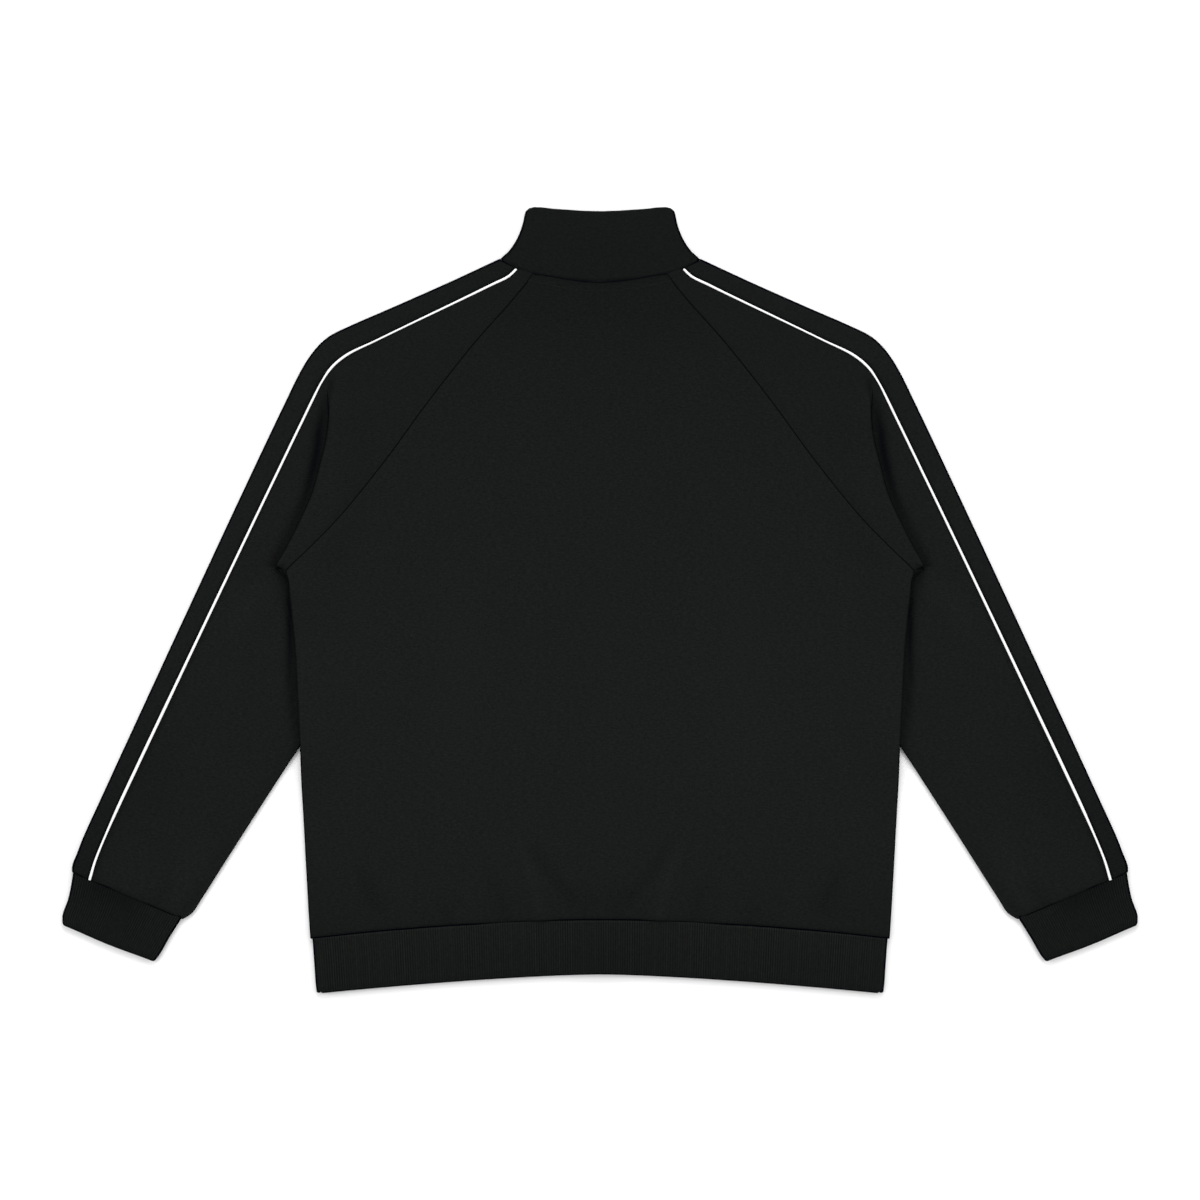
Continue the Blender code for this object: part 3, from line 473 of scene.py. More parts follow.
def gridMesh(name, outer, inner, uv, material, side=1, ring=False, marks=None):
    # a closed wall from two grids of points in millimetres; equal points are welded and flat faces dropped
    rows, cols = outer.shape[:2]
    points = np.concatenate([outer.reshape(-1, 3), inner.reshape(-1, 3)]) * mm * np.array((side, 1.0, 1.0))
    uvs = np.concatenate([uv.reshape(-1, 2)] * 2)
    steps = cols if ring else cols - 1
    i, j = np.meshgrid(np.arange(rows - 1), np.arange(steps), indexing="ij")
    nextJ = (j + 1) % cols
    one, two, three, four = i * cols + j, i * cols + nextJ, (i + 1) * cols + nextJ, (i + 1) * cols + j
    plain = ((i < (rows - 1) / 2) == (j < steps / 2))
    first = np.stack([one, two, np.where(plain, three, four)], -1)
    second = np.stack([np.where(plain, one, two), three, four], -1)
    faces = np.concatenate([first.reshape(-1, 3), second.reshape(-1, 3)])
    loops = np.concatenate([faces, faces[:, ::-1] + rows * cols])
    _, keep, found = np.unique(np.round(points * 1e7).astype(np.int64), axis=0, return_index=True,
                               return_inverse=True)
    found = found.reshape(-1)
    faces = found[loops]
    whole = (faces[:, 0] != faces[:, 1]) & (faces[:, 1] != faces[:, 2]) & (faces[:, 0] != faces[:, 2])
    faces, loops, points = faces[whole], loops[whole], points[keep]
    corners = points[faces]
    if (corners[:, 0] * np.cross(corners[:, 1], corners[:, 2])).sum() < 0.0:
        faces, loops = faces[:, ::-1], loops[:, ::-1]
    mesh = bpy.data.meshes.new(name)
    mesh.from_pydata(points.tolist(), [], faces.tolist())
    mesh.uv_layers.new(name="clothUV").data.foreach_set("uv",
                                                        uvs[loops.reshape(-1)].astype(np.float32).ravel())
    for label, values in (marks or {}).items():
        layer = mesh.attributes.new(label, "FLOAT", "POINT")
        layer.data.foreach_set("value", values.reshape(-1)[keep].astype(np.float32))
    mesh.shade_smooth()
    mesh.materials.append(material)
    return placed(name, mesh)


def wallMesh(name, mid, normal, half, uv, material, tone=None, marks=None, **more):
    offset = normal * half[..., None]
    tone = np.ones(half.shape) if tone is None else tone
    shades = {"tone": np.concatenate([tone.reshape(-1), np.full(tone.size, 0.9)])}
    return gridMesh(name, mid + offset, mid - offset, uv, material, marks={**shades, **(marks or {})}, **more)


def runs(mid):
    # the distances along each row of points
    lengths = np.linalg.norm(np.diff(mid, axis=1), axis=2)
    return np.concatenate([np.zeros((len(mid), 1)), np.cumsum(lengths, axis=1)], axis=1)


def unit(vectors):
    return vectors / np.maximum(np.linalg.norm(vectors, axis=-1, keepdims=True), 1e-9)


def layerRow(path, lean, taus, upper, roll):
    # One layer of doubled cloth along a row that starts at a seam. The path is the middle between the layers. With
    # roll 1 the seam is the folded edge of the doubled cloth, and the layer turns down to it.
    half, turnMost = halfStep, cloth["rollTurn"]
    arc, inset = half * turnMost, half + halfWall
    inArc = taus < arc
    base = taus + roll * (np.where(inArc, inset, taus + inset - arc) - taus)
    turn = roll * np.where(inArc, turnMost - taus / half, 0.0)
    marks = marksAlong(path)
    base = np.minimum(base, marks[-1])
    at = np.stack([np.interp(base, marks, path[:, k]) for k in range(3)], -1)
    ahead = np.stack([np.interp(np.minimum(base + 0.2, marks[-1]), marks, path[:, k]) for k in range(3)], -1)
    behind = np.stack([np.interp(np.maximum(base - 0.2, 0.0), marks, path[:, k]) for k in range(3)], -1)
    out = unit(behind - ahead)
    leanAt = np.interp(base, marks, lean)
    sign = 1.0 if upper else -1.0
    up = np.stack([np.sin(leanAt), np.zeros(len(leanAt)), np.cos(leanAt)], -1) * sign
    bent, flat = np.sin(turn)[:, None], np.cos(turn)[:, None]
    return at + half * (out * bent + up * flat), out * bent + up * flat


# Materials:


def newMaterial(name, roughness, specular):
    material = bpy.data.materials.new(name)
    material.use_nodes = True
    shader = material.node_tree.nodes["Principled BSDF"]
    shader.inputs["Roughness"].default_value = roughness
    shader.inputs["Specular IOR Level"].default_value = specular
    return material, shader, nodeMaker(material.node_tree)


def nodeMaker(tree):
    # add("Kind", input=value or output socket, ...) makes a node, sets or links its inputs and returns it
    def add(kind, settings=None, **inputs):
        node = tree.nodes.new(kind)
        for key, value in (settings or {}).items():
            setattr(node, key, value)
        for key, value in inputs.items():
            key = key.replace("_", " ")
            socket = node.inputs[int(key[2:])] if key.startswith("in") and key[2:].isdigit() else node.inputs[key]
            if isinstance(value, bpy.types.NodeSocket):
                tree.links.new(value, socket)
            else:
                socket.default_value = value
        return node
    return add


def mathNode(add, operation, one, two=None, three=None):
    inputs = {"in0": one}
    if two is not None:
        inputs["in1"] = two
    if three is not None:
        inputs["in2"] = three
    return add("ShaderNodeMath", {"operation": operation}, **inputs).outputs[0]


def noise(add, places, scale, detail, roughness=0.5):
    return add("ShaderNodeTexNoise", Vector=places, Scale=scale, Detail=detail, Roughness=roughness).outputs[0]


def mixColours(add, settings, factor, *colours):
    # two colours, each a value or a socket
    parts = {key: part if isinstance(part, bpy.types.NodeSocket) else (*part, 1.0)
             for key, part in zip(("in6", "in7"), colours)}
    return add("ShaderNodeMix", {"data_type": "RGBA", **settings}, Factor=factor, **parts).outputs[2]


def paint(material, shader, colour, relief):
    for source, label in ((colour, "Base Color"), (relief, "Normal")):
        material.node_tree.links.new(source, shader.inputs[label])
    return material


def makeKnit(name, look):
    # A knit on the cloth's own UV in metres: columns of V stitches with courses that are uneven in relief and in
    # tone, a heathered yarn, slow changes of tone, and the painted light and shade that the cloth's points carry.
    material, shader, add = newMaterial(name, look["roughness"], look["specular"])

    def calc(*parts):
        return mathNode(add, *parts)

    uvNode = add("ShaderNodeUVMap", {"uv_map": "clothUV"}).outputs[0]
    split = add("ShaderNodeSeparateXYZ", in0=uvNode).outputs
    across = calc("FRACT", calc("MULTIPLY", split[0], 1000.0 / look["wale"]))
    fromMiddle = calc("ABSOLUTE", calc("SUBTRACT", across, 0.5))
    slanted = calc("SUBTRACT", calc("MULTIPLY", split[1], 1000.0 / look["course"]), fromMiddle)
    stitch = calc("MULTIPLY_ADD", calc("PINGPONG", slanted, 0.5), 0.7,
                  calc("MULTIPLY", calc("PINGPONG", fromMiddle, 0.25), 2.0))
    places = add("ShaderNodeTexCoord").outputs["Object"]
    fuzz, cloud = noise(add, places, 620.0, 3.0, 0.6), noise(add, places, 16.0, 4.0, 0.55)
    stretched = add("ShaderNodeMapping", {"vector_type": "POINT"}, Vector=uvNode, Scale=look["courseScale"])
    courses = noise(add, stretched.outputs[0], 1.0, 3.0, 0.7)
    height = calc("MULTIPLY_ADD", courses, 1.4, calc("MULTIPLY_ADD", fuzz, 0.6, stitch))
    relief = add("ShaderNodeBump", Strength=look["depth"], Distance=0.0005, Height=height).outputs[0]
    tone = calc("MULTIPLY_ADD", fuzz, look["fuzz"], 1.0 - look["fuzz"] / 2)
    for field, amount in ((cloud, look["cloud"]), (courses, look["courses"])):
        tone = calc("MULTIPLY", tone, calc("MULTIPLY_ADD", field, amount, 1.0 - amount / 2))
    shade = add("ShaderNodeAttribute", {"attribute_name": "tone"}).outputs["Fac"]
    # the colour of painted shade: a neutral dark that turns blue where the shade is deep; above 1 the shade paints
    # light
    dark = mixColours(add, {}, calc("MULTIPLY_ADD", shade, -3.0, 2.25), look["dim"], look["hollow"])
    lit = mixColours(add, {"blend_type": "MULTIPLY"}, 1.0, look["colour"], tone)
    return paint(material, shader, mixColours(add, {"clamp_factor": False}, shade, dark, lit), relief)


def makePlain(name, colour, roughness, specular, metallic=0.0, grain=0.0):
    material, shader, add = newMaterial(name, roughness, specular)
    shader.inputs["Metallic"].default_value = metallic
    fuzz = noise(add, add("ShaderNodeTexCoord").outputs["Object"], 2500.0, 2.0)
    relief = add("ShaderNodeBump", Strength=grain, Distance=0.0002, Height=fuzz).outputs[0]
    tone = mathNode(add, "MULTIPLY_ADD", fuzz, 0.12, 0.94)
    return paint(material, shader, mixColours(add, {"blend_type": "MULTIPLY"}, 1.0, colour, tone), relief)


# Knits: colour, the colours of its light and deep painted shade, stitch size in millimetres, relief, and how strongly
# yarn fuzz, slow clouds and courses change the tone.
fleeceLook = {"colour": (0.00845, 0.00952, 0.00896), "dim": (0.0006, 0.00065, 0.0006),
              "hollow": (0.0005, 0.00038, 0.0022), "wale": 1.1, "course": 0.85, "roughness": 0.95,
              "specular": 0.0, "depth": 0.4, "fuzz": 0.84, "cloud": 0.07, "courses": 1.0,
              "courseScale": (240.0, 640.0, 1.0)}
collarLook = {**fleeceLook, "colour": (0.00669, 0.00767, 0.00716), "wale": 0.9, "course": 0.7, "courses": 0.95}
ribLook = {**fleeceLook, "colour": (0.01046, 0.01177, 0.01087), "wale": 1.15, "course": 0.8, "courses": 0.6,
           "courseScale": (420.0, 160.0, 1.0)}
cuffLook = {**ribLook, "colour": (0.00696, 0.00802, 0.00737)}
finishes = {
    "fleece": makeKnit("fleeceJersey", fleeceLook),
    "collar": makeKnit("collarKnit", collarLook),
    "rib": makeKnit("ribKnit", ribLook),
    "cuff": makeKnit("cuffKnit", cuffLook),
    "piping": makePlain("whitePiping", (0.86, 0.86, 0.85), 0.7, 0.3, grain=0.3),
    "thread": makePlain("blackThread", (0.0082, 0.0090, 0.0086), 0.6, 0.15, grain=0.2),
    "tape": makePlain("zipTape", (0.007, 0.007, 0.007), 0.85, 0.15, grain=0.5),
    "teeth": makePlain("zipTeeth", (0.009, 0.009, 0.009), 0.4, 0.4),
    "metal": makePlain("enamelledMetal", (0.011, 0.011, 0.012), 0.35, 0.5, 0.2),
}


# Body:


def bodyStations(back):
    # the outer end of each row from hem to neck, how far the seam there is a rolled edge, and the row's distance
    # from the nearer end seam
    radius = cloth["seamRound"]
    low, high = body["hemSide"], armpit[1]
    heights = np.concatenate([low + nearEdge(radius)[:-1], low + np.array((1.5, 3.0, 5.0, 8.0)),
                              spaced(low + 12.0, high, cloth["cell"])])
    first = 0.0 if back else shoulderRows[0, 2]
    slope = 0.76
    alongs = np.concatenate([spaced(plan["raglan"].length, first + radius / slope, cloth["cell"])[1:],
                             first + nearEdge(radius)[:-1][::-1] / slope])
    sideRows = np.stack([fromTable(sideSeam, 1, heights), heights], -1)
    edge = np.concatenate([sideRows, plan["raglan"].at(alongs)])
    roll = np.concatenate([smooth((armpit[1] - 2.0 - heights) / 10.0), np.zeros(len(alongs))])
    away = np.minimum(np.concatenate([heights - low, np.full(len(alongs), 99.0)]),
                      np.concatenate([np.full(len(heights), 99.0), (alongs - first) * slope]))
    return edge, roll, away


def centreHeight(edgeY, back):
    neck = plan["raglan"].points[0, 1]
    share = (edgeY - body["hemSide"]) / (neck - body["hemSide"])
    y = body["hemCentre"] + share * (body["neckCentre"] - body["hemCentre"])
    if back:
        return y
    start, stop = tuckRows[0, 2], plan["raglan"].at(shoulderRows[0, 2])[1]
    low = body["hemCentre"] + (start - body["hemSide"]) / (neck - body["hemSide"]) * (
        body["neckCentre"] - body["hemCentre"])
    dipped = low + (body["frontNeckCentre"] - low) * (edgeY - start) / (stop - start)
    return np.where(edgeY <= start, y, dipped)


def bodyGrid(back):
    # the upper or lower layer's middle, normals and half thickness, columns running from the outer edge inwards
    rows = []
    gap = 0.0 if back else body["zipGap"]
    near = np.array((0.0, 0.1, 0.3, 0.6, 1.0, 1.5, 1.8, 2.4, 3.6))
    for (edgeA, edgeY), roll, away in zip(*bodyStations(back)):
        middle = float(centreHeight(edgeY, back))
        bow = 2.0 - 0.1 * max(0.0, 1.0 - (edgeY - body["hemSide"]) / 60.0)
        a = np.linspace(edgeA, gap, 80)
        y = middle + (edgeY - middle) * (a / edgeA) ** bow
        if back:  # its lower edge blouses over the band
            drop = soft["overlap"] * (1.5 * blousing(a) - 0.5) + 0.4 * smooth((a - 200.0) / 70.0)
            y = y - drop * (1.0 - smooth((y - hemSeamY(a)) / 8.0))
        path = np.stack([a, y, level + rise(a, y)], -1)
        radius = cloth["seamRound"] + (cloth["rollRound"] - cloth["seamRound"]) * roll
        length = marksAlong(path)[-1] - roll * rollInset
        ending = length - (np.zeros(1) if back else endOffsets)
        taus = np.concatenate([near, np.linspace(near[-1], ending[0], body["cells"])[1:], ending[1:]])
        mid, normal = layerRow(path, np.zeros(len(a)), taus, back, roll)
        thin = np.minimum(edgeThin(taus, radius), edgeThin(away, cloth["seamRound"]))
        if not back:
            thin = np.minimum(thin, edgeThin(length - taus, cloth["seamRound"]))
        # painted shade along the raglan seam, and at the end seam: the hem, where it is the shadow under the body's
        # edge, or the neck
        line = hemLine(mid[:, 0]) if edgeY < 0.0 else 0.85
        raglanSeamShade = 0.75 * (1.0 - roll) * smooth((away - 3.5) / 3.5)
        seams = seamTone(taus, raglanSeamShade, 1.0) * seamTone(away, 0.97 * line, 1.25, 0.7 * line ** 2)
        rows.append((mid, normal, thin * halfWall, seams))
    mid, normal, half, seams = (np.array(part) for part in zip(*rows))
    uv = mid[..., :2] * mm
    a, y = mid[..., 0], mid[..., 1]
    mid[..., 2] += backRise(a, y) + backSoft(a, y) if back else frontRise(a, y)
    mid = overNeck(mid) if back else mid
    # the rims' painted shade is lighter where the body lies over the sleeve
    least = 0.12 + 0.5 * smooth((y + 146.0) / 16.0) * smooth((18.0 - y) / 12.0)
    tone = edgeTone(half / halfWall, normal, least=least) * seams
    return mid, normal, half, uv, tone * bodyTone(a, y) if back else tone


def makeBack():
    scales = (mirror, mirror, 1.0, mirror[:2], 1.0)
    mid, normal, half, uv, tone = (np.concatenate([grid * scale, grid[:, ::-1][:, 1:]], axis=1)
                                   for grid, scale in zip(bodyGrid(True), scales))
    return wallMesh("backPanel", mid, normal, half, uv, finishes["fleece"], tone=tone)


def makeFront(name, side):
    mid, normal, half, uv, tone = bodyGrid(False)
    return wallMesh(name, mid, normal, half, uv, finishes["fleece"], tone=tone, side=side)


# Sleeves:

sleeve = {"flapCells": 22, "arcCells": 8, "flatCells": 4, "restCells": 24}
startOffsets = np.array((0.0, 0.1, 0.3, 0.6, 1.0, 1.5, 1.8, 2.4, 3.4))
endOffsets = np.array((1.5, 0.87, 0.39, 0.1, 0.0))


def tuckSection(edge, turn, tuck):
    # the doubled cloth's middle round the tuck, from the flap to the sleeve: a, height, lean
    cells = sleeve["arcCells"]
    full = math.radians(turn)
    a, z = edge - edgeInset(turn), tuckHeight(turn, tuck)
    leans = np.linspace(0.0, full, cells + 1)
    upper = np.stack([a + step * np.sin(leans), z - step * (1.0 - np.cos(leans)), leans], -1)
    a, z = upper[-1, 0] + tuck * math.cos(full), upper[-1, 1] - tuck * math.sin(full)
    a, z = a + step * math.sin(full), z + step * math.cos(full)
    back = leans[::-1]
    lower = np.stack([a - step * np.sin(back), z - step * np.cos(back), back], -1)
    return upper, lower


def sleeveEnd(which, along):
    return pipingSide(which, along, -piping["clothStart"])


def straight(start, end, count=60):
    return start + (end - start) * np.linspace(0.0, 1.0, count)[:, None]


def overRise(line):
    return np.column_stack([line, level + rise(line[:, 0], line[:, 1])])


def stationTucked(start, y, edge, turn, tuck, end, cutAt=None):
    # path, leans and the marks of the flap's end and the two folds, from the seam
    upper, lower = tuckSection(edge, turn, tuck)
    flap = overRise(straight(start, np.array((upper[0, 0], y)), 40)[:-1])
    rest = straight(np.array((lower[-1, 0], y)), end, 30)[1:]
    rest = np.column_stack([rest, np.full(len(rest), level)])
    turns = [np.column_stack([part[:, 0], np.full(len(part), y), level + part[:, 1]]) for part in (upper, lower)]
    path = np.concatenate([flap, turns[0], turns[1], rest])
    lean = np.concatenate([np.zeros(len(flap)), upper[:, 2], lower[:, 2], np.zeros(len(rest))])
    marks = marksAlong(path)
    n = len(flap)
    keys = marks[[n, n + len(upper) - 1, n + len(upper), n + len(upper) + len(lower) - 1]]
    if cutAt is not None:
        cut = n + (len(upper) // 2 if cutAt == "upper" else len(upper) + len(lower) // 2)
        path, lean = path[cut:], lean[cut:]
        keys = np.maximum(keys - marks[cut], 0.0)
    return path, lean, keys


def sleeveStation(which, along):
    # one section of the sleeve at a distance along the arm's outer edge: path, leans, keys, roll
    end = sleeveEnd(which, along)
    if along <= tuckFrom:
        seam = fromTable(shoulderRows, 1 if which == "Back" else 2, along)
        path = overRise(straight(plan["raglan"].at(seam), end))
        return path, np.zeros(len(path)), np.full(4, marksAlong(path)[-1]), 0.0
    if along <= tuckTo:
        t = tuckAt(along)
        start = plan["raglan"].at(t["seam"])
        path, lean, keys = stationTucked(start, t["y"], t["edge"], t["turn"], t["flat"], end)
        return path, lean, keys, 0.0
    if along == tuckTip[0]:
        edge, tuck = tuckRows[-1, 3], tuckRows[-1, 5] - 1.0
        path, lean, keys = stationTucked(np.array((edge, tuckTip[1])), tuckTip[1], edge, 180.0, tuck, end,
                                         "upper")
        return path, lean, keys, 1.0
    if along == tuckFoot[0]:
        edge = plan["underarm"].points[0, 0] + 2 * step + edgeInset(180.0)
        path, lean, keys = stationTucked(np.array((edge, tuckFoot[1])), tuckFoot[1], edge, 180.0, 1.0, end,
                                         "lower")
        return path, lean, keys, 1.0
    rows = np.vstack([armRows, (armLength, plan["underarm"].length)])
    start = plan["underarm"].at(fromTable(rows, 1, along))
    line = straight(start, end)
    return np.column_stack([line, np.full(len(line), level)]), np.zeros(len(line)), np.zeros(4), 1.0


def stationRow(which, along):
    # the station's layer at the fixed columns: middle, normal, half thickness, distance along the cloth
    path, lean, keys, roll = sleeveStation(which, along)
    length = marksAlong(path)[-1] - roll * rollInset
    keys = np.clip(keys - roll * rollInset, startOffsets[-1], length - endOffsets[0])
    counts = (sleeve["flapCells"], sleeve["arcCells"], sleeve["flatCells"], sleeve["arcCells"],
              sleeve["restCells"])
    stops = [startOffsets[-1], *keys, length - endOffsets[0]]
    taus = [startOffsets]
    for count, low, high in zip(counts, stops[:-1], stops[1:]):
        taus.append(np.linspace(low, high, count + 1)[1:])
    taus = np.concatenate(taus + [length - endOffsets[1:]])
    mid, normal = layerRow(path, lean, taus, which == "Back", roll)
    radius = cloth["seamRound"] + (cloth["rollRound"] - cloth["seamRound"]) * roll
    thin = np.minimum(edgeThin(taus, radius), edgeThin(length - taus, cloth["seamRound"]))
    return np.concatenate([mid, normal, (thin * halfWall)[:, None], taus[:, None]], axis=1)


def armStops():
    # distances along the arm's outer edge at which the sleeve, the strip and the pipings have their sections
    radius, total = cloth["seamRound"], armLength
    parts = [nearEdge(radius)[:-1], spaced(radius, tuckFrom, cloth["cell"])[:-1],
             spaced(tuckFrom, tuckTo, 4.0), spaced(tuckTo, tuckFoot[0], 2.6)[1:],
             spaced(tuckFoot[0], armFrom, 4.0)[1:],
             spaced(armFrom, total - 12.0, cloth["cell"])[1:], total - np.array((8.0, 5.0, 3.0, 1.5)),
             total - nearEdge(radius)[:-1][::-1]]
    return np.concatenate(parts)


armAlong = armStops()
pastFlap = smooth((armAlong - 196.0) / 30.0)


def overCuff(points, share):
    # the upper layer's end blouses over the cuff
    near = soft["overlap"] * (1.0 - smooth((armLength - armAlong) / 8.0))
    near = near[:, None] * share if points.ndim == 3 else near * share
    points[..., :2] += near[..., None] * cuffOut
    return points


def outerSoft(a, y):
    # the upper layer's height above its level, for rows at the arm's stops: as on the flap at the shoulder, as on
    # the arm from the tuck onwards
    t = pastFlap[:, None] if np.ndim(a) == 2 else pastFlap
    return flapSoft(a, y) * (1.0 - t) + armSoft(a, y) * t


def sleeveGrid(which):
    # between the tuck and the plain arm the sections are blended from four
    rows = []
    stops = np.array((tuckTo, tuckTip[0], tuckFoot[0], armFrom))
    stack = np.array([stationRow(which, float(stop)) for stop in stops])
    for along in armAlong:
        if tuckTo < along < armFrom:
            k = np.clip(np.searchsorted(stops, along) - 1, 0, len(stops) - 2)
            t = (along - stops[k]) / (stops[k + 1] - stops[k])
            rows.append(stack[k] * (1 - t) + stack[k + 1] * t)
        else:
            rows.append(stationRow(which, float(along)))
    rows = np.array(rows)
    mid, normal, half, taus = rows[..., :3], unit(rows[..., 3:6]), rows[..., 6], rows[..., 7]
    away = np.minimum(armAlong, armLength - armAlong)
    half = np.minimum(half, edgeThin(away, cloth["seamRound"])[:, None] * halfWall)
    return mid, normal, half, taus


def sleeveShares():
    # how much of the flap's soft shape the columns have, and which of them belong to the arm
    flap, arc, flat, rest = (sleeve[key] for key in ("flapCells", "arcCells", "flatCells", "restCells"))
    arm = rest + len(endOffsets) - 1
    share = np.concatenate([np.ones(len(startOffsets) + flap), np.linspace(1.0, 0.0, arc + 1)[1:],
                            np.zeros(flat + arc + arm)])
    return share, np.arange(len(share)) >= len(share) - arm


def endTone():
    # the shade in the seams at the neck and the cuff
    return seamTone(armAlong, 0.45, 1.0) * seamTone(armLength - armAlong, 0.15, 1.2, 0.2)


def cuffSeamShadow(a):
    # where along the cuff seam its painted shadow is darkest, as if the sleeve's end stood off the cuff there
    return bump((a - 498.0) / 9.0) + bump((a - 474.0) / 15.0) + smooth((440.0 - a) / 9.0)


def cuffLine(mid):
    # painted shadow along the sleeve's end in the cuff seam
    last = armLength - armAlong[:, None]
    return 1.0 - 0.85 * cuffSeamShadow(mid[..., 0]) * (1.0 - smooth((last - 0.5) / 1.2))


def flapLine(a, y):
    # a thin line of painted shade along the edge of the flap where it starts to fold
    line = bump((beyondEdge(a, y) + 0.6) / 1.4)
    return 1.0 - 0.32 * line * smooth((y - 158.0) / 10.0) * smooth((217.0 - y) / 8.0)


def makeSleeve(name, which, side):
    mid, normal, half, taus = sleeveGrid(which)
    a, y = mid[..., 0], mid[..., 1]
    share, onArm = sleeveShares()
    tucked = pastFlap[:, None]
    beyond = (armAlong > 425.0)[:, None]
    # painted shade: on rims, in the seams at the neck, the raglan and the cuff, and on the back also slow from hem to
    # neck, beside the piping, in the hollow outside the hiding edge, in the folds and along the flap's edge
    tone = edgeTone(half / halfWall, normal, 0.45, 0.4, 0.15) * endTone()[:, None]
    raglanSeamShade = 0.75 * (armAlong < 420.0) * smooth((armAlong - 7.0) / 6.0)
    tone = tone * seamTone(taus, raglanSeamShade[:, None], 1.0)
    tone = tone * seamTone(taus[:, -1:] - taus, 0.9, 1.8, 0.4) * cuffLine(mid)
    if which == "Back":
        flapPart = flapSoft(a, y) * (1.0 - tucked * (1.0 - share))
        armPart = outerSoft(a, y)
        tone = tone * sleeveTone(a, y) * np.where(onArm | beyond,
                                                  hollowTone(a, y) * foldTone(a, y, sleeveFolds), 1.0)
        tone = tone * np.where(share > 0.3, flapLine(a, y), 1.0)
        mid[..., 2] += np.where(share == 1.0, backRise(a, y), 0.0) + np.where(onArm | beyond, armPart, flapPart)
        mid = overNeck(overCuff(mid, 1.0))
    else:
        mid[..., 2] += np.where(share == 1.0, frontRise(a, y), 0.0)
    uv = np.stack([taus, -armAlong[:, None] * np.ones(taus.shape)], -1) * mm
    return wallMesh(name, mid, normal, half, uv, finishes["fleece"], tone=tone, side=side)


# Over-arm strip and its pipings:


def layerHeight(a, y, back, half, base):
    if back:
        return base + half + backRise(a, y)
    return base - half + frontRise(a, y)


def turnUnder(edge, outward, top, bottom, wall, cells):
    # a folded edge in section, from the upper layer round to the lower one
    radius = (top - bottom) / 2.0
    centre = edge - outward * (radius + wall / 2.0)[..., None]
    angles = np.linspace(0.0, math.pi, cells + 1)
    across, up = np.sin(angles), np.cos(angles)
    plane = centre[:, None, :] + radius[:, None, None] * across[None, :, None] * outward[:, None, :]
    height = ((top + bottom) / 2.0)[:, None] + radius[:, None] * up[None, :]
    points = np.concatenate([plane, height[..., None]], -1)
    normals = np.concatenate([across[None, :, None] * outward[:, None, :],
                              np.broadcast_to(up[None, :, None], plane.shape[:2] + (1,))], -1)
    return points, normals


def makeStrip(name, side):
    edge, out = plan["armEdge"].at(armAlong), plan["armEdge"].outward(armAlong)
    top = layerHeight(edge[:, 0], edge[:, 1], True, halfStep, level) + outerSoft(edge[:, 0], edge[:, 1])
    bottom = layerHeight(edge[:, 0], edge[:, 1], False, halfStep, level)
    fold, foldNormals = turnUnder(edge, out, top, bottom, cloth["wall"], 12)
    parts, normals = [], []
    for start, end, up in ((pipingSide("Back", armAlong, piping["clothStart"]), fold[:, 0, :2], 1.0),
                           (fold[:, -1, :2], pipingSide("Front", armAlong, piping["clothStart"]), -1.0)):
        width = np.linalg.norm(end - start, axis=1)
        near = np.array((0.0, 0.1, 0.39, 0.87, 1.5))
        shares = np.concatenate([near / width.max(), np.linspace(1.5 / width.max(), 1.0, 7)[1:]])
        if up < 0:
            shares = 1.0 - shares[::-1]
        flat = start[:, None, :] + (end - start)[:, None, :] * shares[None, :, None]
        a, y = flat[..., 0], flat[..., 1]
        z = layerHeight(a, y, up > 0, halfStep, level) + (outerSoft(a, y) if up > 0 else 0.0)
        parts.append(np.concatenate([flat, z[..., None]], -1))
        normals.append(np.broadcast_to(np.array((0.0, 0.0, up)), parts[-1].shape))
    mid = np.concatenate([parts[0][:, :-1], fold, parts[1][:, 1:]], axis=1)
    normal = np.concatenate([normals[0][:, :-1], foldNormals, normals[1][:, 1:]], axis=1)
    across = runs(mid)
    away = np.minimum(armAlong, armLength - armAlong)
    nearer = np.minimum(across, across[:, -1:] - across)
    thin = np.minimum(edgeThin(nearer, cloth["seamRound"]), edgeThin(away, cloth["seamRound"])[:, None])
    # painted shade: slow along the strip, in the end seams, on the rims and in the seams beside the pipings
    shade = fromTable(stripShade, 1, armAlong) * endTone()
    tone = edgeTone(thin, normal) * shade[:, None] * seamTone(nearer, 0.9, 1.7, 0.4)
    mid = overCuff(mid, (1.0 + normal[..., 2]) / 2.0)
    uv = np.stack([across, -armAlong[:, None] * np.ones(across.shape)], -1) * mm
    return wallMesh(name, mid, normal, thin * halfWall, uv, finishes["fleece"], tone=tone, side=side)


def geometryTree(name, *inputs):
    # a Geometry Nodes tree with named inputs: a maker for its nodes, its inputs, and what ends it
    tree = bpy.data.node_groups.new(name, "GeometryNodeTree")
    tree.interface.new_socket("Geometry", in_out="OUTPUT", socket_type="NodeSocketGeometry")
    for label, kind in (("Geometry", "Geometry"), *inputs, ("Finish", "Material")):
        tree.interface.new_socket(label, in_out="INPUT", socket_type="NodeSocket" + kind)
    add = nodeMaker(tree)
    given, sink = add("NodeGroupInput").outputs, add("NodeGroupOutput").inputs[0]

    def end(geometry, smoothed=True):
        if smoothed:
            geometry = add("GeometryNodeSetShadeSmooth", Geometry=geometry).outputs[0]
        tree.links.new(add("GeometryNodeSetMaterial", Geometry=geometry,
                           Material=given["Finish"]).outputs[0], sink)
        return tree

    return add, given, end


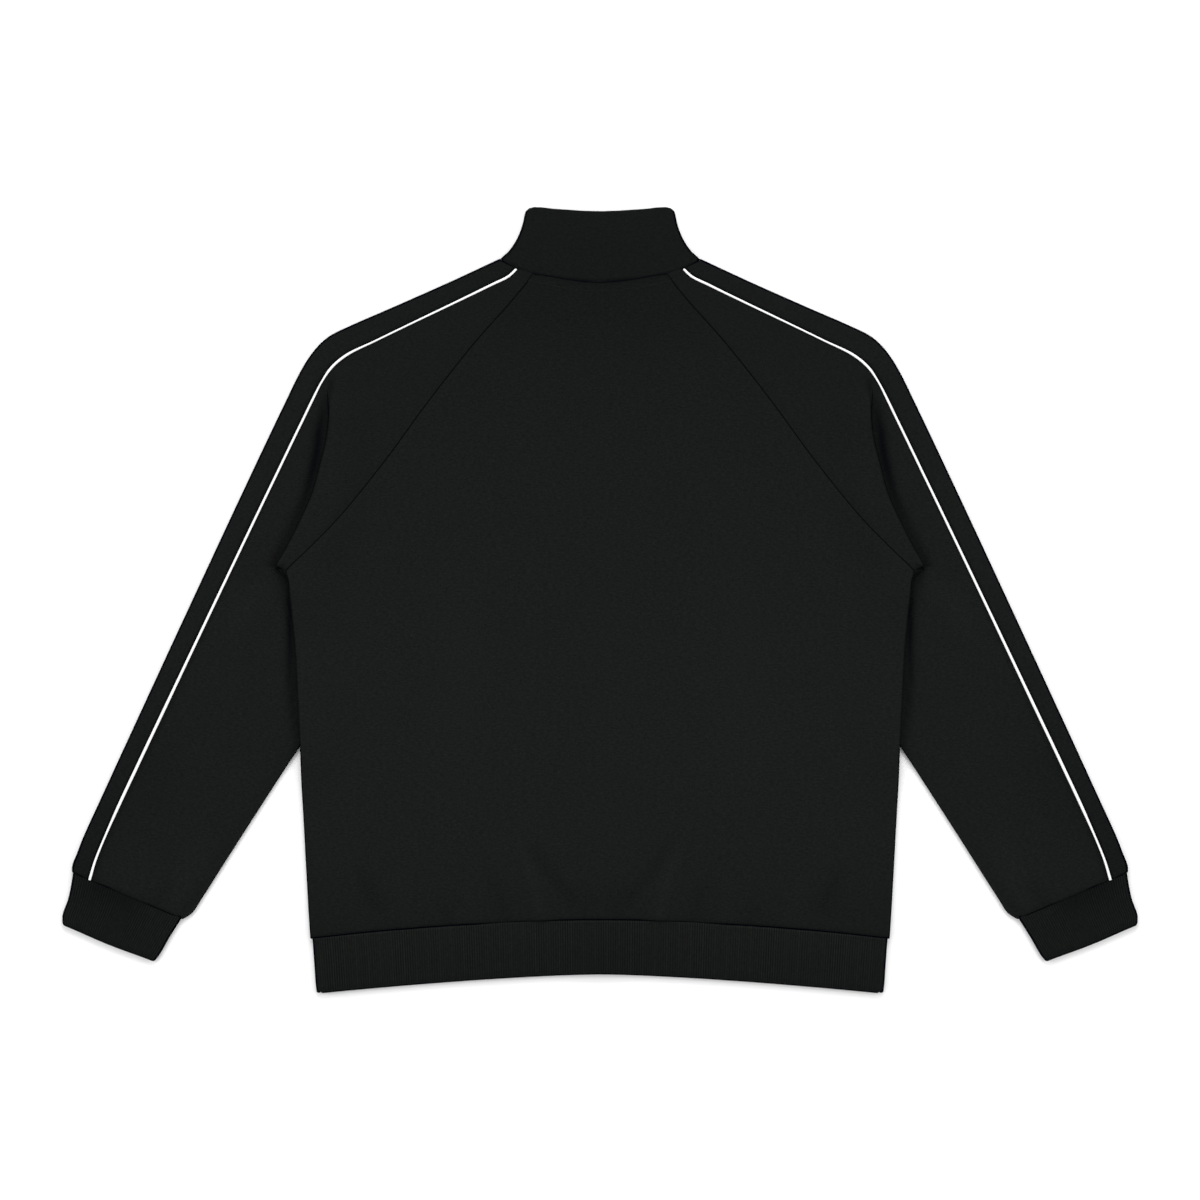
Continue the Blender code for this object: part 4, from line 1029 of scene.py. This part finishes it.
def grow(carrier, tree, values, name, material):
    # sets the tree's inputs by identifier on a modifier, reads the result as a plain mesh and drops the carrier
    values = {**values, "Finish": material}
    modifier = carrier.modifiers.new(tree.name, "NODES")
    modifier.node_group = tree
    for item in tree.interface.items_tree:
        if item.item_type == "SOCKET" and item.in_out == "INPUT" and item.name in values:
            modifier[item.identifier] = values[item.name]
    bpy.context.view_layer.update()
    graph = bpy.context.evaluated_depsgraph_get()
    mesh = bpy.data.meshes.new_from_object(carrier.evaluated_get(graph), depsgraph=graph)
    mesh.name = name
    if not mesh.materials:
        mesh.materials.append(material)
    carrier.modifiers.remove(modifier)
    bpy.data.objects.remove(carrier)
    return placed(name, mesh)


def pathCarrier(name, points, side=1, radii=None):
    # a poly curve through points in millimetres
    curve = bpy.data.curves.new(name, "CURVE")
    curve.dimensions = "3D"
    spline = curve.splines.new("POLY")
    spline.points.add(len(points) - 1)
    for k, (place, (a, y, z)) in enumerate(zip(spline.points, points)):
        place.co = (side * a * mm, y * mm, z * mm, 1.0)
        place.radius = 1.0 if radii is None else radii[k]
    return placed(name, curve)


def alongPath(name, line, side, tree, values, finish, radii=None):
    return grow(pathCarrier(name + "Path", line, side, radii), tree, values, name, finishes[finish])


def makeCordTree():
    # a round cord along the path, as thick as its radius times the path's own
    add, given, end = geometryTree("cordAlongPath", ("Radius", "Float"))
    ring = add("GeometryNodeCurvePrimitiveCircle", Resolution=piping["sides"], Radius=given["Radius"])
    thickness = add("GeometryNodeInputRadius").outputs[0]
    tube = add("GeometryNodeCurveToMesh", Curve=given["Geometry"], Profile_Curve=ring.outputs[0],
               Scale=thickness,
               Fill_Caps=True)
    return end(tube.outputs[0])


cordTree = makeCordTree()


def makePiping(name, which, side):
    back = which == "Back"
    a, y = pipingSide(which, armAlong, 0.0).T
    lift = outerSoft(a, y) + piping["lift"] if back else piping["radius"] - 0.9
    line = np.column_stack([a, y, layerHeight(a, y, back, halfStep, level) + lift])
    if back:
        line = overCuff(line, 1.0)
    at = armAlong * plan["piping" + which].length / armLength
    radii = fromTable(pipingThickness, 1, at) if back else np.ones(len(at))
    keep = (armAlong > 0.3) & (armAlong < armLength - 0.3)
    return alongPath(name, line[keep], side, cordTree, {"Radius": piping["radius"] * mm}, "piping",
                     radii[keep])


# Collar, hem band and cuffs:

collar = {"height": 70.0, "seamA": (0.0, 22.0, 44.0, 65.5, 80.2, 95.8),
          "topA": (0.0, 16.0, 32.0, 47.5, 58.0, 68.6),
          "top": (373.6, 374.1, 375.2, 376.2, 377.4, 377.8), "corner": 0.9, "under": 1.4}
collarSide = np.array(((327, 96.4), (329.6, 94.2), (334.3, 88.8), (341.8, 83), (349.4, 78.8), (357.1, 75.7),
    (364.8, 73.5), (371, 72.3), (374.4, 71), (376.8, 67.9), (377.8, 64.6)))
collarFront = np.array(((5.5, 259.6, 5.5, 334), (25.3, 262.1, 19, 335.7), (46.5, 268.1, 34, 340.8),
    (60.8, 274.3, 44, 347.5), (77.7, 283.6, 54, 356.5), (84.5, 288, 58.5, 362), (92.5, 309, 64.5, 369.5),
    (95.8, 327.1, 68.6, 377.8)))


def ringRow(spotsBack, edge, outward, spotsFront, top, bottom, wall, cells):
    # half a folded ring: the upper layer from the centre, the fold at the side, the lower layer back to the front
    fold, foldNormals = turnUnder(edge[None], outward[None], np.array([top]), np.array([bottom]), wall, cells)
    mid = np.concatenate([spotsBack, fold[0], spotsFront])
    normal = np.concatenate([np.tile((0.0, 0.0, 1.0), (len(spotsBack), 1)), foldNormals[0],
                             np.tile((0.0, 0.0, -1.0), (len(spotsFront), 1))])
    return mid, normal


def wholeRing(halfRow):
    return tuple(np.concatenate([grid[::-1] * mirror, grid[1:]]) for grid in halfRow)


def collarRow(share):
    # it starts a little under the body's neck edge
    start = shoulder[1] - collar["under"]
    y = start + (collar["top"][-1] - start) * share
    corner = np.array((float(fromTable(collarSide, 1, y)), y))
    waist = shoulder[0] + (collar["topA"][-1] - shoulder[0]) * share - corner[0]
    q = np.linspace(0.0, 1.0, 46)[:-1]
    keys = np.array(collar["seamA"]) / shoulder[0]
    seamA, topA, topY = q * shoulder[0], flow(keys, collar["topA"], q), flow(keys, collar["top"], q)
    a = seamA + (topA - seamA) * share - waist * q ** 2
    seamY = neckSeamY(seamA) - collar["under"]
    yy = seamY + (topY - seamY) * share
    high, low = ribLevel + halfRibStep, ribLevel - halfRibStep
    back = np.column_stack([a, yy, high + backRise(a, yy) + 0.4 * smooth((share - 0.1) / 0.5)])
    marks = marksAlong(collarFront[:, :2])
    p = np.linspace(marks[-1], 0.0, 46)[1:]
    fa, ta, ty = (flow(marks, collarFront[:, k], p) for k in (0, 2, 3))
    fy = frontNeckSeamY(fa)
    a2 = fa + (ta - fa) * share - waist * (fa / shoulder[0]) ** 2
    y2 = fy + (ty - fy) * share
    front = np.column_stack([a2, y2, low + frontRise(a2, y2)])
    turn = collar["corner"] * smooth((share - 0.85) / 0.15)
    return wholeRing(ringRow(back, corner, np.array((math.cos(turn), math.sin(turn))), front,
                             high + float(backRise(*corner)), low, ribCloth["wall"], 10))


def ringGrid(rows, shares, heightMm):
    mid, normal = (np.array(part) for part in zip(*rows))
    around = runs(mid)
    return mid, normal, around, shares[:, None] * heightMm * np.ones(around.shape)


def ringHalf(shares, heightMm, seamRound, foldRound, around=None, endRound=None):
    thin = np.minimum(edgeThin(shares * heightMm, seamRound),
                      edgeThin((1.0 - shares) * heightMm, foldRound))[:, None]
    if around is not None:
        thin = np.minimum(thin, edgeThin(np.minimum(around, around[:, -1:] - around), endRound))
    return thin * halfRib


def ringShares(heightMm, seamRound, foldRound, cell, extra=()):
    stops = np.concatenate([nearEdge(seamRound), extra,
                            spaced(max((seamRound, *extra)), heightMm - foldRound, cell)[1:],
                            heightMm - nearEdge(foldRound)[:-1][::-1]])
    return stops / heightMm


def collarTone(mid, shares):
    # painted shade in the seam, and a little darker in the middle of the stand
    height = shares[:, None] * collar["height"]
    middle = 0.04 * np.exp(-(mid[..., 0] / 26.0) ** 2 - ((height - 42.0) / 22.0) ** 2)
    a = np.abs(mid[..., 0])
    depth = 0.68 * (1.0 - 0.6 * bump((a - 74.0) / 12.0))
    return seamTone(height - neckLift(a), depth, 0.8, collar["under"] - 0.35) * (1.0 - middle)


def makeCollar():
    height, seamRound, foldRound = collar["height"], ribCloth["seamRound"], ribCloth["foldRound"]
    shares = ringShares(height, seamRound, foldRound, 4.0)
    mid, normal, around, along = ringGrid([collarRow(share) for share in shares], shares, height)
    half = ringHalf(shares, height, seamRound, foldRound, around, foldRound)
    uv = np.stack([around, along], -1) * mm
    tone = edgeTone(half / halfRib, normal) * collarTone(mid, shares)
    return wallMesh("collarStand", mid, normal, half, uv, finishes["collar"], tone=tone)


hemBand = {"height": 53.4, "edgeCentre": -359.0, "edgeBow": 1.45, "cornerTurn": 0.6, "under": 1.4}
bandSide = np.array(((0.0, 276.6, -322.6), (0.5, 274.7, -347.6), (0.92, 273.0, -371.6),
    (0.975, 272.3, -376.0), (1.0, 270.4, -377.4)))
ringCells = 240


def bandRow(share):
    sideA, sideY = (float(fromTable(bandSide, k, share)) for k in (1, 2))
    start = body["hemCentre"] + hemBand["under"]
    middle = start + (hemBand["edgeCentre"] - start) * share
    power = body["hemBow"] + (hemBand["edgeBow"] - body["hemBow"]) * share
    tilt = hemBand["cornerTurn"] * smooth((share - 0.9) / 0.1)
    edge = np.array((sideA, sideY))
    top = ribLevel + halfRibStep + float(backRise(sideA, sideY))

    def spots(a, back):
        y = middle + (sideY - middle) * (a / sideA) ** power
        stand = bandSoft(a, share) if back else 0.0
        return np.column_stack([a, y, layerHeight(a, y, back, halfRibStep, ribLevel) + stand])

    inner = sideA - halfRibStep - halfRib
    back = spots(np.linspace(0.0, inner, ringCells)[:-1], True)
    front = spots(np.linspace(inner, body["zipGap"], ringCells)[1:], False)
    row = ringRow(back, edge, np.array((math.cos(tilt), -math.sin(tilt))), front, top, ribLevel - halfRibStep,
                  ribCloth["wall"], 10)
    return wholeRing(row)


def bandSoft(a, share):
    # the band swells a little, unevenly
    waves = 0.35 + 0.35 * np.sin(a / 13.0 + 0.6) * np.sin(a / 31.0 + 2.0)
    return waves * smooth((262.0 - a) / 30.0) * bump(share * 2 - 1)


def makeRibTree():
    # sinks a groove between neighbouring ribs into the outer face of a knitted band
    add, given, end = geometryTree("knitRibs", ("Pitch", "Float"), ("Groove", "Float"))

    def read(label):
        return add("GeometryNodeInputNamedAttribute", {"data_type": "FLOAT"}, Name=label).outputs[0]

    turn = mathNode(add, "MULTIPLY", mathNode(add, "DIVIDE", read("ribPhase"), given["Pitch"]), 2 * math.pi)
    depth = mathNode(add, "MULTIPLY", mathNode(add, "SUBTRACT", mathNode(add, "COSINE", turn), 1.0), 0.5)
    for amount in (given["Groove"], read("ribShare")):
        depth = mathNode(add, "MULTIPLY", depth, amount)
    normal = add("GeometryNodeInputNormal").outputs[0]
    move = add("ShaderNodeVectorMath", {"operation": "SCALE"}, in0=normal, Scale=depth)
    return end(add("GeometryNodeSetPosition", Geometry=given["Geometry"], Offset=move.outputs[0]).outputs[0],
               False)


ribTree = makeRibTree()


def bandTone(mid, down):
    # a painted highlight just below the painted shadow in the seam, then slowly darker to the fold, and darker in the
    # middle
    a = np.abs(mid[..., 0])
    below = down + 0.9 * (1.0 - blousing(a))
    light = 0.42 * bump((below - 2.9) / 1.3) * hemLine(a)
    slow = 1.0 - 0.1 * smooth(down / 45.0) - 0.05 * bell(a, 60.0)
    corner = 1.0 - 0.1 * smooth((a - 225.0) / 45.0) * bump(down / 20.0)
    return (slow + light) * seamTone(below, 0.95 * hemLine(a), 0.7, 1.7) * corner


def cuffTone(mid, down):
    # painted shade, darkest below the middle of the seam, lighter at the sides and towards the fold
    across = (mid[..., 0] - 470.0) * 0.92 + (mid[..., 1] + 285.0) * 0.38
    patch = np.exp(-(across / 36.0) ** 4 - (down / 23.0) ** 2)
    return (1.34 - 0.42 * patch) * seamTone(down, 0.1 + 0.75 * cuffSeamShadow(mid[..., 0]), 0.8, 1.6)


def ribbed(name, height, rowAt, extra, finish, shade, side=1, ring=False, lighter=0.0):
    # a band or cuff whose columns are resampled so that each rib has its own; the rib tree sinks the grooves
    seamRound, foldRound = ribCloth["seamRound"], ribCloth["foldRound"]
    shares = ringShares(height, seamRound, foldRound, ribCloth["cell"], extra)
    mid, normal, around, _ = ringGrid([rowAt(share) for share in shares], shares, height)
    half = ringHalf(shares, height, seamRound, foldRound) * np.ones(around.shape)
    total = around[:, -1].mean()
    ribs = int(round(total / ribCloth["pitch"]))
    spots = np.linspace(0.0, 1.0, ribs * ribCloth["columns"] + 1)
    if not ring:
        ends = foldRound / total * np.array((0.07, 0.26, 0.58))
        spots = np.unique(np.concatenate([spots, ends, 1.0 - ends]))
    place = around / around[:, -1:]

    def resampled(grid):
        if grid.ndim == 2:
            return np.array([np.interp(spots, place[i], grid[i]) for i in range(len(grid))])
        return np.stack([resampled(grid[..., k]) for k in range(grid.shape[-1])], -1)

    mid, normal, half = resampled(mid), unit(resampled(normal)), resampled(half)
    if not ring:
        edge = np.minimum(spots, 1.0 - spots) * total
        half = np.minimum(half, edgeThin(edge, foldRound)[None, :] * halfRib)
    down = shares[:, None] * height * np.ones(half.shape)
    # painted shade on the rims and as the band or cuff lays it out, and painted shade at the folded end
    tone = edgeTone(half / halfRib, normal) * shade(mid, down)
    tone = tone * seamTone(height - down, 0.9, 1.9)
    phase = np.broadcast_to(spots * ribs * ribCloth["pitch"] * mm, half.shape)
    groove = smooth(np.minimum(shares, 1.0 - shares) * ribCloth["grooveReach"])[:, None] * np.ones(half.shape)
    uv = np.stack([phase, np.broadcast_to(shares[:, None] * ribCloth["patternHeight"] * mm, half.shape)], -1)
    if ring:
        mid, normal, half, phase, groove, uv, tone = (
            grid[:, :-1] for grid in (mid, normal, half, phase, groove, uv, tone))
    marks = {"ribPhase": np.tile(phase.reshape(-1), 2),
             "ribShare": np.concatenate([groove.reshape(-1), np.zeros(groove.size)])}
    # painted shade in the grooves between the ribs, stronger on some ribs than on others, and every fifth rib lighter
    beat = 1.0 + 0.7 * np.sin(phase / mm / 7.0 + 1.0) * np.sin(phase / mm / 19.0 + 2.0)
    tone = tone * (0.76 + 0.24 * beat * np.cos(phase / (ribCloth["pitch"] * mm) * 2 * math.pi))
    tone = tone + lighter * np.cos(math.pi * phase / mm / (5.0 * ribCloth["pitch"])) ** 24
    carrier = wallMesh(name + "Base", mid, normal, half, uv, finishes[finish], tone=tone, side=side, ring=ring,
                       marks=marks)
    values = {"Pitch": ribCloth["pitch"] * mm, "Groove": ribCloth["groove"] * mm}
    piece = grow(carrier, ribTree, values, name, finishes[finish])
    for label in ("ribPhase", "ribShare"):
        piece.data.attributes.remove(piece.data.attributes[label])
    return piece


cuffRows = np.array(((0, 506.2, -260, 400.8, -303.4), (0.27, 508.2, -273, 406.6, -312.6),
    (0.52, 510.8, -285.8, 413.6, -323.8), (0.93, 517, -306.6, 425.6, -344),
    (1, 515.8, -311.8, 428.6, -346.8)))
cuff = {"height": 48.6, "bow": 1.1}


def cuffRow(share):
    outerA, outerY, innerA, innerY = (float(fromTable(cuffRows, k, share)) for k in range(1, 5))
    outer, inner = np.array((outerA, outerY)), np.array((innerA, innerY))
    out = (outer - inner) / np.linalg.norm(outer - inner)
    high, low = ribLevel + halfRibStep, ribLevel - halfRibStep
    reach = (ribStep + ribCloth["wall"]) / 2
    size = np.linalg.norm(outer - inner)
    flat = np.linspace(reach, size - reach, 60)
    bow = cuff["bow"] * bump(flat / size * 2 - 1) * smooth((share - 0.4) / 0.6)
    places = inner + out * flat[:, None] + cuffOut * bow[:, None]
    top = np.column_stack([places, high + 0.5 * bump(flat / size * 2 - 1) * bump(share * 2 - 1)])
    fold, foldNormals = turnUnder(outer[None], out[None], np.array([high]), np.array([low]),
                                  ribCloth["wall"], 10)
    under, underNormals = turnUnder(inner[None], -out[None], np.array([high]), np.array([low]),
                                    ribCloth["wall"], 10)
    bottom = np.column_stack([places[::-1], np.full(len(places), low)])
    mid = np.concatenate([top, fold[0][1:], bottom[1:], under[0][::-1][1:]])
    up, down = np.tile((0.0, 0.0, 1.0), (len(top), 1)), np.tile((0.0, 0.0, -1.0), (len(bottom) - 1, 1))
    normal = np.concatenate([up, foldNormals[0][1:], down, underNormals[0][::-1][1:]])
    return mid, normal


# Zip and stitches:

zipParts = {"top": 330.5, "foot": -350.5, "tapeFrom": 0.9, "tapeTo": 17.0, "tapeHalf": 0.3, "toothPitch": 3.0,
            "tooth": (2.9, 1.25, 2.0), "toothMiddle": 0.95, "teethFrom": 9.0, "teethTo": 2.0,
            "trimStarts": (-292.0, 242.0), "trimSlope": 14.0}
stitches = {"length": 0.9, "pitch": 1.8, "radius": 0.25, "zipAway": 13.0, "zipSpan": (-298.0, 250.0)}
neckStitchLine = ((-101.0, 322.2), (-90.0, 316.0), (-79.6, 311.0), (-58.8, 305.3), (-36.8, 300.8),
    (-9.8, 297.5), (9.8, 297.5), (36.8, 300.8), (58.8, 305.3), (79.6, 311.0), (90.0, 316.0), (101.0, 322.2))


def chainHeight(y):
    low, high = zipParts["trimStarts"]
    onTrim = smooth((low - y) / zipParts["trimSlope"]) + smooth((y - high) / zipParts["trimSlope"])
    base = cloth["wall"] + 0.3 + zipParts["tapeHalf"]
    return base + onTrim * (ribCloth["wall"] - cloth["wall"]) + frontRise(0.0, y)


def makeTape(name, side):
    y = spaced(zipParts["foot"], zipParts["top"], 3.0)
    a = np.concatenate([zipParts["tapeFrom"] + np.array((0.0, 0.08, 0.3)), spaced(1.6, 16.4, 3.0),
                        zipParts["tapeTo"] - np.array((0.3, 0.08, 0.0))])
    grid = np.stack(np.meshgrid(a, y), -1)
    mid = np.concatenate([grid, np.broadcast_to(chainHeight(y)[:, None, None], grid.shape[:2] + (1,))], -1)
    normal = np.broadcast_to(np.array((0.0, 0.0, -1.0)), mid.shape)
    away = np.minimum(np.minimum(a - a[0], a[-1] - a)[None, :], np.minimum(y - y[0], y[-1] - y)[:, None])
    half = zipParts["tapeHalf"] * edgeThin(away, 0.3)
    return wallMesh(name, mid, normal, half, grid * mm, finishes["tape"], side=side)


def makeInstanceTree(name, rounding):
    # a row of small rounded blocks along the path, each turned to it
    add, given, end = geometryTree(name, ("Pitch", "Float"), ("Size", "Vector"))
    spots = add("GeometryNodeCurveToPoints", {"mode": "LENGTH"}, Curve=given["Geometry"],
                Length=given["Pitch"])
    block = add("GeometryNodeMeshCube", Size=given["Size"])
    rounder = add("GeometryNodeSubdivisionSurface", Mesh=block.outputs[0], Level=1, Edge_Crease=rounding)
    row = add("GeometryNodeInstanceOnPoints", Points=spots.outputs["Points"], Instance=rounder.outputs[0],
              Rotation=spots.outputs["Rotation"])
    return end(add("GeometryNodeRealizeInstances", Geometry=row.outputs[0]).outputs[0])


toothTree, stitchTree = makeInstanceTree("teethAlongPath", 0.75), makeInstanceTree("stitchesAlongPath", 0.0)


def makeTeeth(name, side):
    # left and right teeth alternate; a path's own frame has its tangent along local z
    start = zipParts["foot"] + zipParts["teethFrom"] + (zipParts["toothPitch"] / 2 if side > 0 else 0.0)
    y = spaced(start, zipParts["top"] - zipParts["teethTo"], 6.0)
    line = np.column_stack([np.full(len(y), zipParts["toothMiddle"]), y, chainHeight(y)])
    wide, along, tall = zipParts["tooth"]
    values = {"Pitch": zipParts["toothPitch"] * mm, "Size": np.array((tall, wide, along)) * mm}
    return alongPath(name, line, side, toothTree, values, "teeth")


def makeStitches(name, line, side=1):
    size = np.array((stitches["radius"] * 2.6, stitches["radius"] * 2.6, stitches["length"] * 1.25)) * mm
    return alongPath(name, line, side, stitchTree, {"Pitch": stitches["pitch"] * mm, "Size": size}, "thread")


def makeNeckStitches():
    line = np.array(neckStitchLine)
    marks = marksAlong(line)
    at = np.linspace(0.0, marks[-1], 120)
    x, y = flow(marks, line[:, 0], at), flow(marks, line[:, 1], at)
    a = np.abs(x)
    z = level + halfStep + halfWall + backRise(a, y) + flapSoft(a, y)
    return makeStitches("neckStitches", np.column_stack([x, y, z + 0.02]))


def makeZipStitches(name, side):
    y = spaced(*stitches["zipSpan"], 6.0)
    a = np.full(len(y), stitches["zipAway"])
    return makeStitches(name, np.column_stack([a, y, frontRise(a, y) + 0.2]), side)


def finishMetal(node):
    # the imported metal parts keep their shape, and get softened edges and their finish
    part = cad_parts[node]
    part.data.materials.clear()
    part.data.materials.append(finishes["metal"])
    weld = part.modifiers.new("weld", "WELD")
    weld.merge_threshold = 0.00001
    bevel = part.modifiers.new("bevel", "BEVEL")
    bevel.width, bevel.segments, bevel.limit_method, bevel.angle_limit = 0.0002, 2, "ANGLE", math.radians(40)


# Build:


def settle(piece, nodes):
    # puts a finished piece on its body, in place of the plain solids that it stands for
    if nodes:
        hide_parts(*nodes)
    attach(piece, "jacket")


print("stage: body")
back = makeBack()
fronts = {label: makeFront("front" + label, sign) for label, _, sign in sides}
print("stage: sleeves")
sleeves = {(which, label): makeSleeve("sleeve" + which + label, which, sign)
           for label, _, sign in sides for which in ("Back", "Front")}
strips = {label: makeStrip("sleeveStrip" + label, sign) for label, _, sign in sides}
pipings = {(which, label): makePiping("piping" + which + label, which, sign)
           for label, _, sign in sides for which in ("Back", "Front")}
print("stage: collar, hem band and cuffs")
collarPiece = makeCollar()
bandPiece = ribbed("hemBand", hemBand["height"], bandRow, (2.4, 2.9, 3.5, 4.4), "rib", bandTone, lighter=0.09)
cuffs = {label: ribbed("cuff" + label, cuff["height"], cuffRow, (2.4, 3.2), "cuff", cuffTone, sign, True)
         for label, _, sign in sides}


print("stage: zip and stitches")
tapes = {label: makeTape("zipTape" + label, sign) for label, _, sign in sides}
teeth = {label: makeTeeth("zipTeeth" + label, sign) for label, _, sign in sides}
zipStitches = {label: makeZipStitches("zipStitches" + label, sign) for label, _, sign in sides}
neckStitches = makeNeckStitches()
for node in ("zip_slider", "zip_pull", "zip_box"):
    finishMetal(node)


settle(neckStitches, [])
settle(back, ["back"])
settle(collarPiece, ["collar"])
settle(bandPiece, ["hem_band"])
for label, name, _ in sides:
    settle(tapes[label], ["zip_tape_" + name])
    settle(teeth[label], [])
    settle(zipStitches[label], [])
    settle(fronts[label], ["front_" + name])
    for which in ("Back", "Front"):
        settle(pipings[which, label], [f"piping_{which.lower()}_{name}"])
        settle(sleeves[which, label], [f"sleeve_{which.lower()}_{name}"])
    settle(strips[label], ["sleeve_stripe_" + name])
    settle(cuffs[label], ["cuff_" + name])


# Floor, light and camera:

studio = {"floor": 0.93, "floorReach": 30.0, "floorHeight": -0.0004, "room": 0.72, "frame": 1.152,
          "lens": 180.0, "sensor": 36.0, "centre": (0.0, 0.00048, 0.006)}
# Soft lamps, the same on both sides: place in metres, size, watts.
lamps = {"softCollar": ((0.0, 2.6, 2.0), 1.6, 55.0), "softLeft": ((-2.6, 0.3, 2.0), 1.6, 34.0),
         "softRight": ((2.6, 0.3, 2.0), 1.6, 34.0)}


def makeStudio():
    reach = studio["floorReach"]
    corners = [(x * reach, y * reach, studio["floorHeight"]) for x, y in ((-1, -1), (1, -1), (1, 1), (-1, 1))]
    floorMesh = bpy.data.meshes.new("floor")
    floorMesh.from_pydata(corners, [], [(0, 1, 2, 3)])
    floor = placed("floor", floorMesh)
    material, shader, _ = newMaterial("paleFloor", 0.9, 0.1)
    shader.inputs["Base Color"].default_value = (studio["floor"],) * 3 + (1.0,)
    floorMesh.materials.append(material)
    floor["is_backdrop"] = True
    world = bpy.data.worlds.new("softRoom")
    world.use_nodes = True
    world.node_tree.nodes["Background"].inputs[0].default_value = (1.0, 1.0, 1.0, 1.0)
    world.node_tree.nodes["Background"].inputs[1].default_value = studio["room"]
    bpy.context.scene.world = world
    for name, (place, size, power) in lamps.items():
        lamp = bpy.data.lights.new(name, "AREA")
        lamp.shape, lamp.size, lamp.energy = "SQUARE", size, power
        light = placed(name, lamp)
        light.location = place
        light.rotation_mode = "QUATERNION"
        light.rotation_quaternion = (-Vector(place)).to_track_quat("-Z", "Y")
    eye = bpy.data.cameras.new("camera")
    eye.lens, eye.sensor_width, eye.clip_end = studio["lens"], studio["sensor"], 100.0
    camera = placed("camera", eye)
    x, y, z = studio["centre"]
    camera.location = (x, y, z + studio["frame"] * studio["lens"] / studio["sensor"])
    bpy.context.scene.camera = camera
    bpy.context.scene.view_settings.view_transform = "Standard"


print("stage: floor, light and camera")
makeStudio()

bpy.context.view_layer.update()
counts = {piece.name: sum(len(face.vertices) - 2 for face in piece.data.polygons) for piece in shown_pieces()}
print("triangles:", sum(counts.values()), counts)
